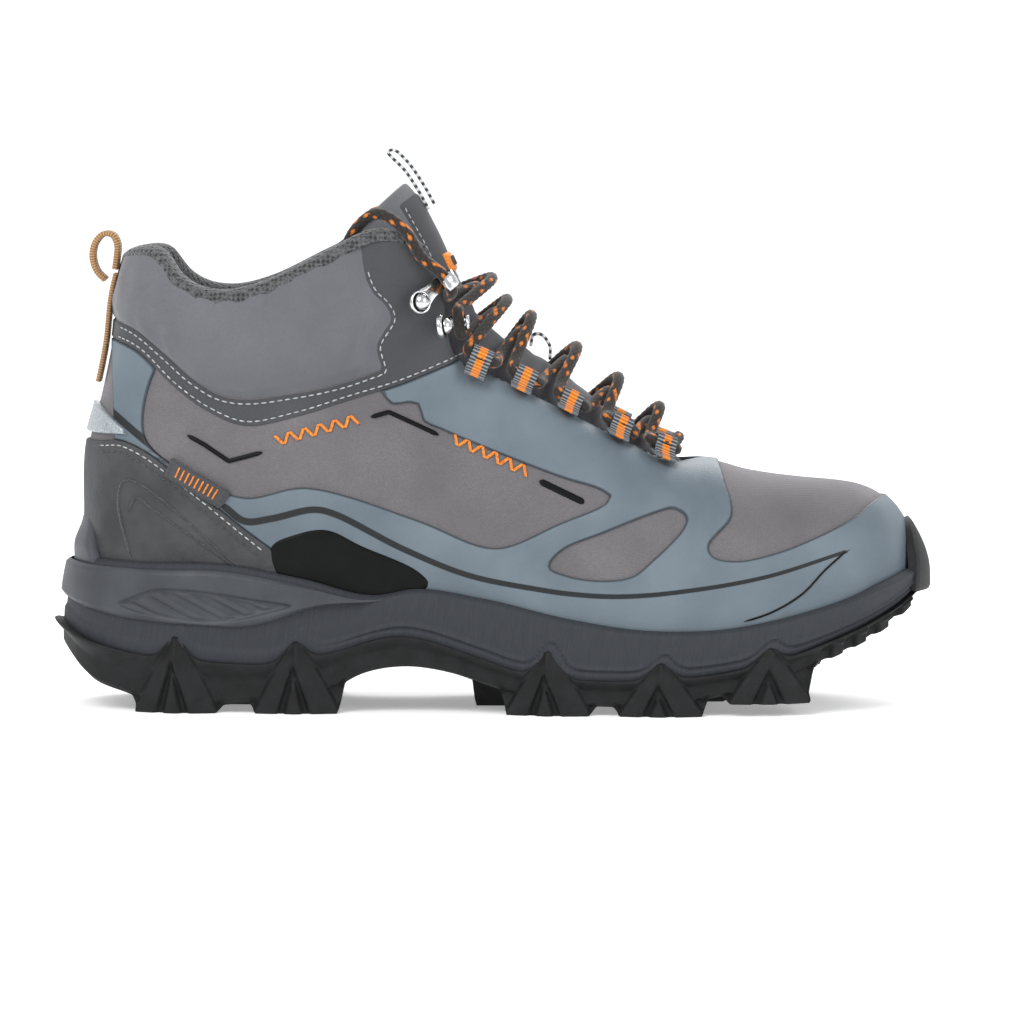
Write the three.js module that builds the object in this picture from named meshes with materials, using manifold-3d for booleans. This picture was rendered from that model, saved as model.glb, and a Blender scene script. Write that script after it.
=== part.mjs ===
// Hiking boot for the right foot, size EU 43.
// Millimetres. X runs from heel to toe, Y from the outer to the inner side, Z up, tread on z = 0.
import * as THREE from 'three';
import { mergeVertices } from 'three/addons/utils/BufferGeometryUtils.js';
import Module from 'manifold-3d';

const wasm = await Module();
wasm.setup();

// ---------------------------------------------------------------- driving dimensions
const GAP = 0.3;              // clearance between touching pieces
const SHELL = 1.5;            // softshell upper and panels
const FILM = 0.8;             // fused film and leather overlays
const LINING = 1.2;
const STIFFENER = 1.1;        // heel counter and toe puff inside the upper
const FOAM_DEPTH = 3.8;       // collar padding where it is fullest
const LACE = 4.0;             // lace diameter
const TAB_WIDTH = 7.4;        // webbing lace tab, along the throat edge
const HOOK_WIDTH = 5.2;
const LUG_WIDTH = 19;         // edge lugs, across the sole
const TONGUE_FACE = 1.1;
const TONGUE_FOAM = 3.4;
const TONGUE_LINING = 0.9;
const TOE_U = 1;              // stations round the upper: 0 heel, 1 toe
const RIDGE_U = 0.78;         // the throat ends here and the top line becomes the ridge
const COLLAR_U = 0.40;        // front end of the padded collar

// ---------------------------------------------------------------- smooth lines
// A cubic through hand-set stations [t, value]; a closed one repeats after `period`.
function smooth(stations, period = 0) {
  const s = period
    ? [[stations.at(-1)[0] - period, stations.at(-1)[1]], ...stations,
      [stations[0][0] + period, stations[0][1]], [stations[1][0] + period, stations[1][1]]]
    : stations;
  const slope = i => (s[i + 1][1] - s[i][1]) / (s[i + 1][0] - s[i][0]);
  const tangent = i => {
    if (i === 0) return slope(0);
    if (i === s.length - 1) return slope(i - 1);
    const before = s[i][0] - s[i - 1][0];
    const after = s[i + 1][0] - s[i][0];
    return (slope(i) * before + slope(i - 1) * after) / (before + after);
  };
  return t => {
    const x = period ? ((t % period) + period) % period : Math.min(Math.max(t, s[0][0]), s.at(-1)[0]);
    let i = 0;
    while (i < s.length - 2 && x > s[i + 1][0]) i++;
    const h = s[i + 1][0] - s[i][0];
    const k = (x - s[i][0]) / h;
    const a = s[i][1];
    const b = s[i + 1][1];
    const ma = tangent(i) * h;
    const mb = tangent(i + 1) * h;
    return a + k * (ma + k * (3 * (b - a) - 2 * ma - mb + k * (ma + mb - 2 * (b - a))));
  };
}

const mix = (a, b, k) => a + (b - a) * k;
const ramp = (from, to, x) => {
  const k = Math.min(Math.max((x - from) / (to - from), 0), 1);
  return k * k * (3 - 2 * k);
};
const wrap = w => Math.round(((w + 2) % 2) * 1e9) / 1e9;
const around = w => {                              // 0..2 round the boot, folded to 0..1
  const place = wrap(w);
  return place <= 1 ? place : Math.round((2 - place) * 1e9) / 1e9;
};
const sideOf = w => (wrap(w) <= 1 ? -1 : 1);                  // -1 outer side, +1 inner side

// ---------------------------------------------------------------- levels along the boot, z by x
const boardTop = smooth([[-141, 38], [-130, 36.5], [-60, 32], [0, 24], [50, 19], [100, 26], [135, 37], [150, 43]]);
const treadBase = smooth([[-153, 22], [-143, 12], [-128, 6], [-70, 5.5], [-55, 8.5], [-45, 13.5], [-32, 16],
  [-15, 14], [0, 9], [12, 6], [72, 5.5], [98, 11.5], [112, 17], [125, 22], [140, 30], [153, 41]]);
const outsoleTop = smooth([[-153, 30], [-145, 26], [-122, 19.8], [-100, 17.8], [-75, 17.2], [-57, 20.5], [-32, 26.5],
  [-5, 19.5], [8, 15], [27, 12.5], [44, 12], [64, 13], [80, 15], [100, 19.5], [117, 25], [131, 30.5], [142, 36],
  [153, 44]]);
const midsoleTop = smooth([[-153, 52], [-130, 51], [-95, 50.4], [-71, 45.8], [-45, 40], [-32, 42], [-5, 38.8],
  [23, 32.2], [44, 29], [60, 28.3], [79, 29.2], [95, 32], [120, 39.2], [134, 44], [146, 47], [153, 48]]);

const plateTop = x => Math.min(outsoleTop(x), boardTop(x) - 8.5);   // inside the sole, under the midsole

// ---------------------------------------------------------------- plan outlines round the boot
const soleX = smooth([[0, -152.6], [0.04, -147], [0.09, -135], [0.16, -115], [0.26, -88], [0.38, -55], [0.5, -22],
  [0.6, 5], [0.68, 30], [0.75, 55], [0.81, 78], [0.86, 97], [0.91, 116], [0.955, 136.5], [0.985, 150.4], [1, 152.6],
  [1.015, 150.4], [1.045, 136.5], [1.09, 116], [1.14, 97], [1.19, 78], [1.25, 55], [1.32, 30], [1.4, 5], [1.5, -22],
  [1.62, -55], [1.74, -88], [1.84, -115], [1.91, -135], [1.96, -147]], 2);
const soleY = smooth([[0, 0], [0.04, -19], [0.09, -32], [0.16, -40], [0.26, -43.5], [0.38, -44.5], [0.5, -45.5],
  [0.6, -48.5], [0.68, -53], [0.75, -54.8], [0.81, -54.6], [0.86, -52], [0.91, -45], [0.955, -31], [0.985, -12],
  [1, 3], [1.015, 18], [1.045, 36.5], [1.09, 49], [1.14, 54], [1.19, 53.5], [1.25, 50], [1.32, 43.5], [1.4, 37],
  [1.5, 35.5], [1.62, 37.5], [1.74, 40], [1.84, 39], [1.91, 32], [1.96, 19]], 2);
const featherX = smooth([[0, -141], [0.05, -136], [0.12, -119], [0.25, -85], [0.4, -45], [0.5, -19], [0.6, 8],
  [0.68, 34], [0.75, 58], [0.82, 83], [0.88, 106], [0.94, 130], [0.975, 142], [1, 147.5], [1.025, 142], [1.06, 130],
  [1.12, 106], [1.18, 83], [1.25, 58], [1.32, 34], [1.4, 8], [1.5, -19], [1.6, -45], [1.75, -85], [1.88, -119],
  [1.95, -136]], 2);
const featherY = smooth([[0, 0], [0.05, -18], [0.12, -30], [0.25, -35], [0.4, -35.5], [0.5, -37], [0.6, -41],
  [0.68, -45.5], [0.75, -48], [0.82, -47.5], [0.88, -43], [0.94, -32], [0.975, -17], [1, 2], [1.025, 21],
  [1.06, 35], [1.12, 45], [1.18, 47.5], [1.25, 45], [1.32, 38.5], [1.4, 32], [1.5, 29.5], [1.6, 30.5],
  [1.75, 33.5], [1.88, 29.5], [1.95, 18]], 2);

// Top line: the collar edge, the facing edge, the throat edge and then the ridge to the toe.
const topX = smooth([[0, -128], [0.05, -124.5], [0.1, -116], [0.15, -107], [0.21, -95], [0.28, -78], [0.34, -58],
  [COLLAR_U, -38], [0.445, -24], [0.49, -17.8], [0.53, -16.7], [0.57, -12], [0.61, 4], [0.66, 24], [0.71, 44],
  [0.75, 62], [RIDGE_U, 73.5], [0.84, 89], [0.92, 103], [TOE_U, 113]]);
const topY = smooth([[0, 0], [0.05, 14], [0.1, 24], [0.15, 31], [0.21, 35.5], [0.28, 37.5], [0.34, 37],
  [COLLAR_U, 33], [0.445, 27], [0.49, 23.7], [0.53, 23.5], [0.57, 23.3], [0.61, 22.3], [0.66, 20.5], [0.71, 18],
  [0.75, 13.5], [RIDGE_U, 0]]);
const topZ = smooth([[0, 155], [0.05, 156.5], [0.1, 156], [0.15, 146.5], [0.21, 142.3], [0.28, 145.5], [0.34, 155],
  [COLLAR_U, 163.5], [0.445, 159], [0.49, 147], [0.53, 133], [0.57, 120], [0.61, 112.5], [0.66, 102.5],
  [0.71, 92.5], [0.75, 84.5], [RIDGE_U, 85], [0.84, 81.5], [0.92, 79], [TOE_U, 78]]);
// Outward swell of the side wall by height, at the heel back and at the ankle sides.
const heelSwell = smooth([[0, 0], [0.26, 4.2], [0.47, 6], [0.6, 3.6], [0.75, 1.8], [0.9, 1.6], [1, 0]]);
const ankleSwell = smooth([[0, 0], [0.25, 3], [0.45, 1], [0.63, -2], [0.8, 0.5], [0.92, 1.4], [1, 0]]);

// ---------------------------------------------------------------- surface of the upper
// w runs round the boot, v from the sole (0) to the top line (1).
function skinPoint(w, v) {
  const u = around(w);
  const side = sideOf(w);
  const dome = ramp(0.4, 0.66, u);                  // 0 upright ankle, 1 rounded forefoot
  const angle = v * Math.PI / 2;
  const power = 2 / mix(2.2, 2.7, ramp(0.7, 1, u));
  const inward = v === 1 ? 0 : mix(1 - v, Math.cos(angle) ** power, dome);
  const height = mix(v, Math.sin(angle) ** power, dome);
  const footX = featherX(w);
  const footZ = boardTop(footX) - 2;
  const tY = u >= RIDGE_U ? 0 : topY(u) * side;
  const turn = ramp(0, 0.16, u) * Math.PI / 2;
  const swell = mix(heelSwell(v), ankleSwell(v), ramp(0, 0.16, u)) * (1 - ramp(0.42, 0.6, u));
  return new THREE.Vector3(
    mix(topX(u), footX, inward) - swell * Math.cos(turn),
    mix(tY, featherY(w), inward) + swell * Math.sin(turn) * side,
    mix(footZ, topZ(u), height));
}

function skinNormal(w, v) {
  const step = 0.004;
  const level = Math.min(Math.max(v, 0.03), 0.985);
  const along = skinPoint(w + step, level).sub(skinPoint(w - step, level));
  const up = skinPoint(w, level + step).sub(skinPoint(w, level - step));
  return along.cross(up).normalize();
}

// The point `depth` outside the surface; both sides agree along the ridge.
function skin(w, v, depth) {
  const normal = skinNormal(w, v);
  if (v === 1 && around(w) >= RIDGE_U) {
    normal.add(skinNormal(2 - w, v));
    normal.y = 0;
    normal.normalize();
  }
  return skinPoint(w, v).addScaledVector(normal, depth);
}

// The height station v where the surface reaches level z.
function stationAt(w, z) {
  let low = 0;
  let high = 1;
  for (let i = 0; i < 24; i++) {
    const middle = (low + high) / 2;
    if (skinPoint(w, middle).z < z) low = middle;
    else high = middle;
  }
  return (low + high) / 2;
}

// ---------------------------------------------------------------- mesh and solid helpers
function toGeometry(points, triangles) {
  const geometry = new THREE.BufferGeometry();
  const places = points.flatMap(p => p.toArray()).map(x => Math.round(x * 1e4) / 1e4);
  geometry.setAttribute('position', new THREE.Float32BufferAttribute(places, 3));
  geometry.setIndex(triangles.flat());
  return geometry;
}

function toSolid(geometry) {
  const bare = geometry.clone();
  bare.deleteAttribute('normal');
  bare.deleteAttribute('uv');
  const merged = mergeVertices(bare, 1e-3);
  const index = merged.index.array;
  const corner = i => new THREE.Vector3().fromBufferAttribute(merged.attributes.position, index[i]);
  const kept = [];
  let volume = 0;
  for (let i = 0; i < index.length; i += 3) {
    const [a, b, c] = [index[i], index[i + 1], index[i + 2]];
    if (a !== b && b !== c && a !== c) kept.push(a, b, c);
    volume += corner(i).dot(corner(i + 1).cross(corner(i + 2)));
  }
  if (volume < 0) kept.reverse();                  // faces outward, however it was wound
  return new wasm.Manifold(new wasm.Mesh({
    numProp: 3,
    vertProperties: new Float32Array(merged.attributes.position.array),
    triVerts: new Uint32Array(kept),
  }));
}

function fromSolid(solid) {
  const mesh = solid.getMesh();
  const geometry = new THREE.BufferGeometry();
  geometry.setAttribute('position', new THREE.BufferAttribute(new Float32Array(mesh.vertProperties), 3));
  geometry.setIndex(new THREE.BufferAttribute(new Uint32Array(mesh.triVerts), 1));
  geometry.computeVertexNormals();
  return geometry;
}

// A closed wall of quads between two grids of points, both [row][column].
function slab(outer, inner) {
  const points = [];
  const triangles = [];
  const number = grid => grid.map(row => row.map(p => points.push(p) - 1));
  const a = number(outer);
  const b = number(inner);
  const quad = (p, q, r, s) => triangles.push([p, q, r], [p, r, s]);
  const rows = a.length - 1;
  const columns = a[0].length - 1;
  for (let i = 0; i < rows; i++) {
    for (let j = 0; j < columns; j++) {
      quad(a[i][j], a[i][j + 1], a[i + 1][j + 1], a[i + 1][j]);
      quad(b[i][j], b[i + 1][j], b[i + 1][j + 1], b[i][j + 1]);
    }
    quad(a[i][0], a[i + 1][0], b[i + 1][0], b[i][0]);
    quad(a[i][columns], b[i][columns], b[i + 1][columns], a[i + 1][columns]);
  }
  for (let j = 0; j < columns; j++) {
    quad(a[0][j], b[0][j], b[0][j + 1], a[0][j + 1]);
    quad(a[rows][j], a[rows][j + 1], b[rows][j + 1], b[rows][j]);
  }
  return toGeometry(points, triangles);
}

// A closed loft of rings that run round the boot; each end is closed side to side.
function loft(rings) {
  const points = rings.flat();
  const n = rings[0].length;
  const triangles = [];
  const quad = (p, q, r, s) => triangles.push([p, q, r], [p, r, s]);
  for (let k = 0; k + 1 < rings.length; k++) {
    for (let i = 0; i < n; i++) {
      const j = (i + 1) % n;
      quad(k * n + i, k * n + j, (k + 1) * n + j, (k + 1) * n + i);
    }
  }
  const top = (rings.length - 1) * n;
  for (let i = 0; i < n / 2; i++) {
    const j = i + 1;
    const far = (n - i) % n;
    const near = (n - j) % n;
    quad(i, far, near, j);
    quad(top + i, top + j, top + near, top + far);
  }
  return toGeometry(points, triangles);
}

// ---------------------------------------------------------------- layers of the upper
const span = (from, to, count) => Array.from({ length: count + 1 }, (_, i) => mix(from, to, i / count));
const HALF = [...span(0, COLLAR_U, 9).slice(0, -1), ...span(COLLAR_U, RIDGE_U, 8).slice(0, -1),
  ...span(RIDGE_U, TOE_U, 6)];
const ROUND = [...HALF, ...HALF.slice(1, -1).reverse().map(u => 2 - u)];
const LEVELS = [0, 0.1, 0.24, 0.4, 0.56, 0.71, 0.86, 1];

// The whole upper as one folded layer between two depths, open at the sole and at the throat.
function layer(outerDepth, innerDepth) {
  const depth = (d, w, v) => (typeof d === 'function' ? d(around(w), v) : d);
  const grid = d => ROUND.map(w => LEVELS.map(v => skin(w, v, depth(d, w, v))));
  const points = [];
  const triangles = [];
  const number = g => g.map(row => row.map(p => points.push(p) - 1));
  const a = number(grid(outerDepth));
  const b = number(grid(innerDepth));
  const quad = (p, q, r, s) => triangles.push([p, q, r], [p, r, s]);
  const last = LEVELS.length - 1;
  ROUND.forEach((w, i) => {
    const k = (i + 1) % ROUND.length;
    for (let j = 0; j < last; j++) {
      quad(a[i][j], a[k][j], a[k][j + 1], a[i][j + 1]);
      quad(b[i][j], b[i][j + 1], b[k][j + 1], b[k][j]);
    }
    quad(a[i][0], b[i][0], b[k][0], a[k][0]);
    const open = Math.max(around(w), around(ROUND[k])) <= RIDGE_U;
    if (open) quad(a[i][last], a[k][last], b[k][last], b[i][last]);
  });
  return toSolid(toGeometry(points, triangles));
}

// A prism through the boot with the given side-view outline of [x, z] points.
function sidePrism(outline, from, to) {
  const shape = new THREE.Shape(outline.map(([x, z]) => new THREE.Vector2(x, z)));
  const geometry = new THREE.ExtrudeGeometry(shape, { depth: to - from, bevelEnabled: false });
  geometry.rotateX(Math.PI / 2);
  geometry.translate(0, to, 0);
  return toSolid(geometry);
}

// A prism along the boot with the given end-view outline of [y, z] points.
function endPrism(outline, from, to) {
  const shape = new THREE.Shape(outline.map(([y, z]) => new THREE.Vector2(y, z)));
  const geometry = new THREE.ExtrudeGeometry(shape, { depth: to - from, bevelEnabled: false });
  geometry.rotateX(Math.PI / 2);
  geometry.rotateZ(Math.PI / 2);
  geometry.translate(from, 0, 0);
  return toSolid(geometry);
}

// The largest body of a cut; the offcuts at a window's edge are dropped.
const largest = solid => solid.decompose().sort((a, b) => b.volume() - a.volume())[0];

const SIDES = { lateral: [-80, -GAP / 2], medial: [GAP / 2, 80], both: [-80, 80] };
const through = (outline, side) => sidePrism(outline, ...SIDES[side]);

// ---------------------------------------------------------------- side-view outlines, [x, z]
const HIGH = 230;
const BAND_LOW = [[-134, 128.5], [-123, 124], [-110, 112], [-98, 103.5], [-85, 98.5], [-68, 101.5], [-50, 107],
  [-32, 112.5], [-18, 118], [-11, 121]];
const BAND_HIGH = [[-134, 135], [-123.5, 131], [-113, 123], [-102.5, 114], [-94, 109], [-85, 107.5], [-71, 109],
  [-53, 112.5], [-38, 117.5], [-40, 126], [-37.5, 131], [-35, 135.5], [-37, 140], [-41, 144], [-44, 151],
  [-46, 175]];
const VAMP_SEAM = [[37, 115], [37, 95], [40, 76], [26, 66], [12, 56], [8, 40], [8, 5]];
const MAIN_WINDOW = [[-120, 95], [-102.5, 81], [-85, 74], [-64, 77.5], [-25.5, 66], [-4.5, 57.5], [4, 57],
  [23.5, 65.5], [38, 71.5], [40.5, 74], [37.5, 76.5], [23.5, 81], [2.5, 89], [-18.5, 97.5], [-24, 100],
  [-25.5, 105.5], [-30, 106.5], [-34, 105.5], [-42, 112], [-85, 104], [-112, 122]];
const SMALL_WINDOW = [[19.5, 50.5], [23.5, 56], [37.5, 62], [56.5, 69], [62, 70], [66.5, 67], [65.5, 63.5],
  [55, 53], [48, 47.5], [38, 46], [26, 47.5]];
const TOE_WINDOW = [[74, 57.5], [82, 67], [82, 72.5], [80, 79], [79, 95], [160, 95], [160, 77], [133, 71.5],
  [125, 66.5], [111, 60], [97, 55], [84, 52.5], [75.5, 54]];
const HEEL_PANEL = [[-160, 92], [-136, 92.5], [-129, 93], [-120, 89.5], [-102.5, 77], [-85, 63], [-67.5, 50.5]];
const BLACK_PANEL = [[-76, 57], [-67.5, 61.5], [-57, 63], [-45, 57.5], [-25.5, 48.5], [-22, 44]];
const LABEL = [[-110, 87.5], [-89.5, 76], [-93.5, 70], [-112.5, 81]];
const REFLECTOR = [[-150, 110], [-138, 106], [-125, 95], [-150, 95]];

const under = (line, z) => [...line, [line.at(-1)[0], z], [line[0][0], z]];
const aboveSole = (from, to, clearance) =>
  span(from, to, 22).map(x => [x, midsoleTop(x) + clearance]);
const belowBand = lift => under([[-160, 130 + lift], ...BAND_LOW.map(([x, z]) => [x, z + lift]), [45, 121]], -20);
const filmZone = [...aboveSole(-128, 150, 2.2), [160, 90], [60, 100], [20, 125], [-8, 122],
  ...BAND_LOW.slice(1).reverse().map(([x, z]) => [x, z - GAP])];

// ---------------------------------------------------------------- the model
const boot = new THREE.Group();
const FINISH = {
  rubber: { color: '#2e3032', roughness: 0.85, metalness: 0 },
  midsole: { color: '#4b4e54', roughness: 0.8, metalness: 0 },
  cradle: { color: '#5b5f66', roughness: 0.7, metalness: 0 },
  softshell: { color: '#69676a', roughness: 0.95, metalness: 0 },
  ankle: { color: '#68696e', roughness: 0.9, metalness: 0 },
  band: { color: '#545559', roughness: 0.85, metalness: 0 },
  film: { color: '#76848e', roughness: 0.6, metalness: 0 },
  leather: { color: '#585858', roughness: 0.75, metalness: 0 },
  black: { color: '#232526', roughness: 0.5, metalness: 0 },
  mesh: { color: '#4a4a48', roughness: 1, metalness: 0 },
  foam: { color: '#c9c4b4', roughness: 1, metalness: 0 },
  board: { color: '#b8a98c', roughness: 0.9, metalness: 0 },
  steel: { color: '#c8ccd0', roughness: 0.15, metalness: 1 },
  orange: { color: '#f58c1e', roughness: 0.8, metalness: 0 },
  webbing: { color: '#8a8c8f', roughness: 0.9, metalness: 0 },
  reflective: { color: '#c9ccce', roughness: 0.4, metalness: 0.2 },
  lace: { color: '#332c26', roughness: 0.9, metalness: 0 },
};

function add(name, shape, finish) {
  const geometry = fromSolid(largest(shape.isBufferGeometry ? toSolid(shape) : shape));
  const mesh = new THREE.Mesh(geometry, new THREE.MeshStandardMaterial(FINISH[finish]));
  mesh.name = name;
  boot.add(mesh);
  return shape;
}

// ---------------------------------------------------------------- sole unit
const STATIONS = span(0, 2, 48).slice(0, -1);
const outward = (fx, fy, w) => {
  const dx = fx(w + 0.01) - fx(w - 0.01);
  const dy = fy(w + 0.01) - fy(w - 0.01);
  return new THREE.Vector3(dy, -dx, 0).normalize();
};
const solePoint = (w, inset, z) =>
  new THREE.Vector3(soleX(w), soleY(w), z).addScaledVector(outward(soleX, soleY, w), -inset);
const footPoint = (w, inset, z) =>
  new THREE.Vector3(featherX(w), featherY(w), z).addScaledVector(outward(featherX, featherY, w), -inset);
const soleRing = (inset, level) => STATIONS.map(w => {
  const p = solePoint(w, inset, 0);
  p.z = level(p.x);
  return p;
});
const footRing = (inset, level) => STATIONS.map(w => {
  const p = footPoint(w, inset, 0);
  p.z = level(p.x);
  return p;
});

const BED = 0.8;              // glue line between the outsole and the midsole
const LIP = 1.4;              // clearance between the midsole cup and the upper
// Outer wall of the midsole: h 0 at the outsole, 1 at its top edge, d outside it.
function midsoleWall(w, h, d) {
  const x = soleX(w);
  const foot = solePoint(w, 3.2, outsoleTop(x) + BED);
  const lip = skin(w, stationAt(w, midsoleTop(x)), LIP);
  const direction = outward(soleX, soleY, w);
  const top = lip.clone().addScaledVector(direction, 3.4);
  top.z = midsoleTop(x);
  return foot.lerp(top, h).addScaledVector(direction, d + 4 * h * (1 - h) * 0.6);
}

function midsole() {
  const wall = h => STATIONS.map(w => midsoleWall(w, h, 0));
  const lip = STATIONS.map(w => {
    const p = skin(w, stationAt(w, midsoleTop(soleX(w))), LIP);
    p.z = midsoleTop(soleX(w)) - 0.3;
    return p;
  });
  const middleLevel = w => mix(boardTop(featherX(w)), midsoleTop(soleX(w)), 0.4);
  const middle = STATIONS.map(w => skin(w, stationAt(w, middleLevel(w)), LIP));
  const floor = depth => STATIONS.map(w => {
    const p = skin(w, 0.02, LIP);
    p.z = boardTop(p.x) - depth;
    return p;
  });
  return loft([soleRing(6.6, x => plateTop(x) + BED), wall(0), wall(0.35), wall(0.7), wall(1), lip, middle,
    floor(2), floor(4.4)]);
}

const FLAT_TREAD = 6.5;       // lugs under this much of the plate's height stand on the ground
const LUGS = [-105, -67, 19, 57, 95];           // middles of the edge lugs, along the boot
const LUG_HALF = 16;
const CHEVRONS = [-86, 2, 38, 76, 110];         // middles of the centre lugs
function outsole() {
  const plate = toSolid(loft([
    soleRing(4, treadBase), soleRing(1.2, x => treadBase(x) + 2.2),
    soleRing(0, x => mix(treadBase(x), outsoleTop(x), 0.6)), soleRing(1, outsoleTop), soleRing(2.2, outsoleTop), soleRing(6, plateTop)]));
  const blocks = [];
  for (const x of LUGS) {
    const lift = Math.max(0, treadBase(x) - FLAT_TREAD);
    const back = [x - LUG_HALF + 2, treadBase(x - LUG_HALF + 2) + 2];
    const front = [x + LUG_HALF - 2, treadBase(x + LUG_HALF - 2) + 2];
    const base = [[x - LUG_HALF, lift], [x + LUG_HALF, lift], front];
    const claw = [...base, [x + 3, outsoleTop(x) + 4], [x - 3, outsoleTop(x) + 4], back];
    const foot = [...base, back];
    const reach = soleY(lugStation(x));
    const far = soleY(2 - lugStation(x));
    blocks.push(sidePrism(claw, reach + 0.2, reach + 1.5), sidePrism(foot, reach + 0.4, reach + LUG_WIDTH));
    blocks.push(sidePrism(claw, far - 1.5, far - 0.2), sidePrism(foot, far - LUG_WIDTH, far - 0.4));
  }
  for (const x of CHEVRONS) {
    const lift = Math.max(0, treadBase(x + 8) - FLAT_TREAD);
    const chevron = [[x - 9, lift], [x + 9, lift],
      [x + 8, treadBase(x + 8) + 1.5], [x - 8, treadBase(x - 8) + 1.5]];
    blocks.push(sidePrism(chevron, -14, 14));
  }
  return blocks.reduce((whole, block) => whole.add(block), plate);
}

function lugStation(x) {
  let low = 0;
  let high = 1;
  for (let i = 0; i < 30; i++) {
    const middle = (low + high) / 2;
    if (soleX(middle) < x) low = middle;
    else high = middle;
  }
  return low;
}

add('outsole', outsole(), 'rubber');
add('midsole', midsole(), 'midsole');

function heelCradle() {
  const stations = span(-10 / 24, 10 / 24, 20);
  const end = w => 1 - 0.55 * Math.abs(w * 2.4) ** 2.2;
  const grid = depth => stations.map(w =>
    span(0, 1, 3).map(k => midsoleWall(w, mix(1 - 0.62 * end(w), 0.93, k), depth)));
  return slab(grid(2.2), grid(2 * GAP));
}
add('heel_cradle', heelCradle(), 'cradle');

add('insole_board', loft([footRing(6, x => boardTop(x) - 2.3), footRing(6, x => boardTop(x) - 0.2)]), 'board');
add('footbed', loft([footRing(6.4, x => boardTop(x) + 0.1), footRing(5.9, x => boardTop(x) + 3.2),
  footRing(7.5, x => boardTop(x) + 4.4)]), 'mesh');

function shank() {
  const stations = span(-95, 15, 8);
  const grid = depth => stations.map(x => [-8, 8].map(y => new THREE.Vector3(x, y - 2, boardTop(x) - depth)));
  return slab(grid(2.6), grid(4.0));
}
add('shank', shank(), 'steel');

// ---------------------------------------------------------------- upper shells and overlays
const shell = layer(0, -SHELL);
const film = layer(GAP + FILM, GAP);
const badgeLayer = layer(2 * GAP + FILM + 0.9, 2 * GAP + FILM);
const stiffLayer = layer(-SHELL - GAP, -SHELL - GAP - STIFFENER);
const foamPad = (u, v) => ramp(0.45, 0.39, u) * ramp(0.5, 0.66, v);
const liningDepth = (u, v) => -(SHELL + STIFFENER + 2 * GAP + FOAM_DEPTH * foamPad(u, v));
const lining = layer(liningDepth, (u, v) => liningDepth(u, v) - LINING);
const foam = layer(-SHELL - GAP, (u, v) => liningDepth(u, v) + GAP);

const seamFront = [...VAMP_SEAM, [170, 5], [170, 115]];
const seamBack = [...VAMP_SEAM.map(([x, z]) => [x - GAP, z]), [-170, 5], [-170, 115]];
add('vamp', shell.intersect(through(seamFront, 'both')), 'softshell');
const anklePatch = [...BAND_HIGH.map(([x, z], i) => (i < 8 ? [x, z + 2 * GAP] : [x - 2 * GAP, z])),
  [-160, HIGH], [-160, 140]];
const bandZone = [[-160, 130], ...BAND_LOW, [10, 121], [10, HIGH], ...BAND_HIGH.slice().reverse(), [-160, 140]];
for (const side of ['lateral', 'medial']) {
  const quarter = shell.intersect(through(seamBack, side)).intersect(through(belowBand(-GAP), side));
  add(`quarter_${side}`, quarter, 'softshell');
  add(`facing_band_${side}`, shell.intersect(through(bandZone, side)), 'band');
  add(`ankle_panel_${side}`, shell.intersect(through(anklePatch, side)), 'ankle');
}

const heelPanelZone = [...HEEL_PANEL, ...aboveSole(-60, -160, 2)];
const grown = outline => {
  const centre = outline.reduce((c, [x, z]) => [c[0] + x / outline.length, c[1] + z / outline.length], [0, 0]);
  return outline.map(([x, z]) => {
    const away = Math.hypot(x - centre[0], z - centre[1]);
    const scale = (away + 1) / away;
    return [centre[0] + (x - centre[0]) * scale, centre[1] + (z - centre[1]) * scale];
  });
};
for (const side of ['lateral', 'medial']) {
  const windows = [MAIN_WINDOW, SMALL_WINDOW, TOE_WINDOW, grown(heelPanelZone)];
  const sheet = windows.reduce((rest, hole) => rest.subtract(through(hole, side)),
    film.intersect(through(filmZone, side)));
  add(`film_overlay_${side}`, sheet, 'film');
  add(`black_panel_${side}`, badgeLayer.intersect(through(BLACK_PANEL, side)), 'black');
}
add('heel_panel', film.intersect(through(heelPanelZone, 'both')), 'leather');
add('side_label', badgeLayer.intersect(through(LABEL, 'lateral')), 'band');
const STIFFENER_ZONE = [[-160, 36], [-70, 36], [-62, 46], [-90, 66], [-110, 80], [-160, 84]];
add('heel_stiffener', stiffLayer.intersect(through(STIFFENER_ZONE, 'both')), 'board');
add('toe_puff', stiffLayer.intersect(through([[112, 32], [160, 32], [160, 85], [104, 85]], 'both')), 'board');
add('lining', lining, 'mesh');
const foamZone = [[-160, 96], [-36, 122], [-20, 130], [-20, 175], [-160, 175]];
for (const side of ['lateral', 'medial']) {
  add(`collar_foam_${side}`, foam.intersect(through(foamZone, side)), 'foam');
}

// ---------------------------------------------------------------- toe and heel trim
const BUMPER_ZONE = [[143, 50], [143.5, 72], [160, 72], [160, 50]];
const LEDGE_ZONE = [[-134, 53.5], [-152, 53.5], [-152, 58], [-146, 64.5], [-139, 66]];
add('toe_bumper', layer(3.4, GAP + FILM + GAP).intersect(through(BUMPER_ZONE, 'both')), 'rubber');
add('heel_ledge', layer(5.4, GAP + FILM + GAP).intersect(through(LEDGE_ZONE, 'both')), 'rubber');
add('heel_reflector', badgeLayer.intersect(through(REFLECTOR, 'both')), 'reflective');
add('heel_strap', badgeLayer.intersect(endPrism([[-7, 112], [7, 112], [7, 150], [-7, 150]], -150, -120)), 'orange');

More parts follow.
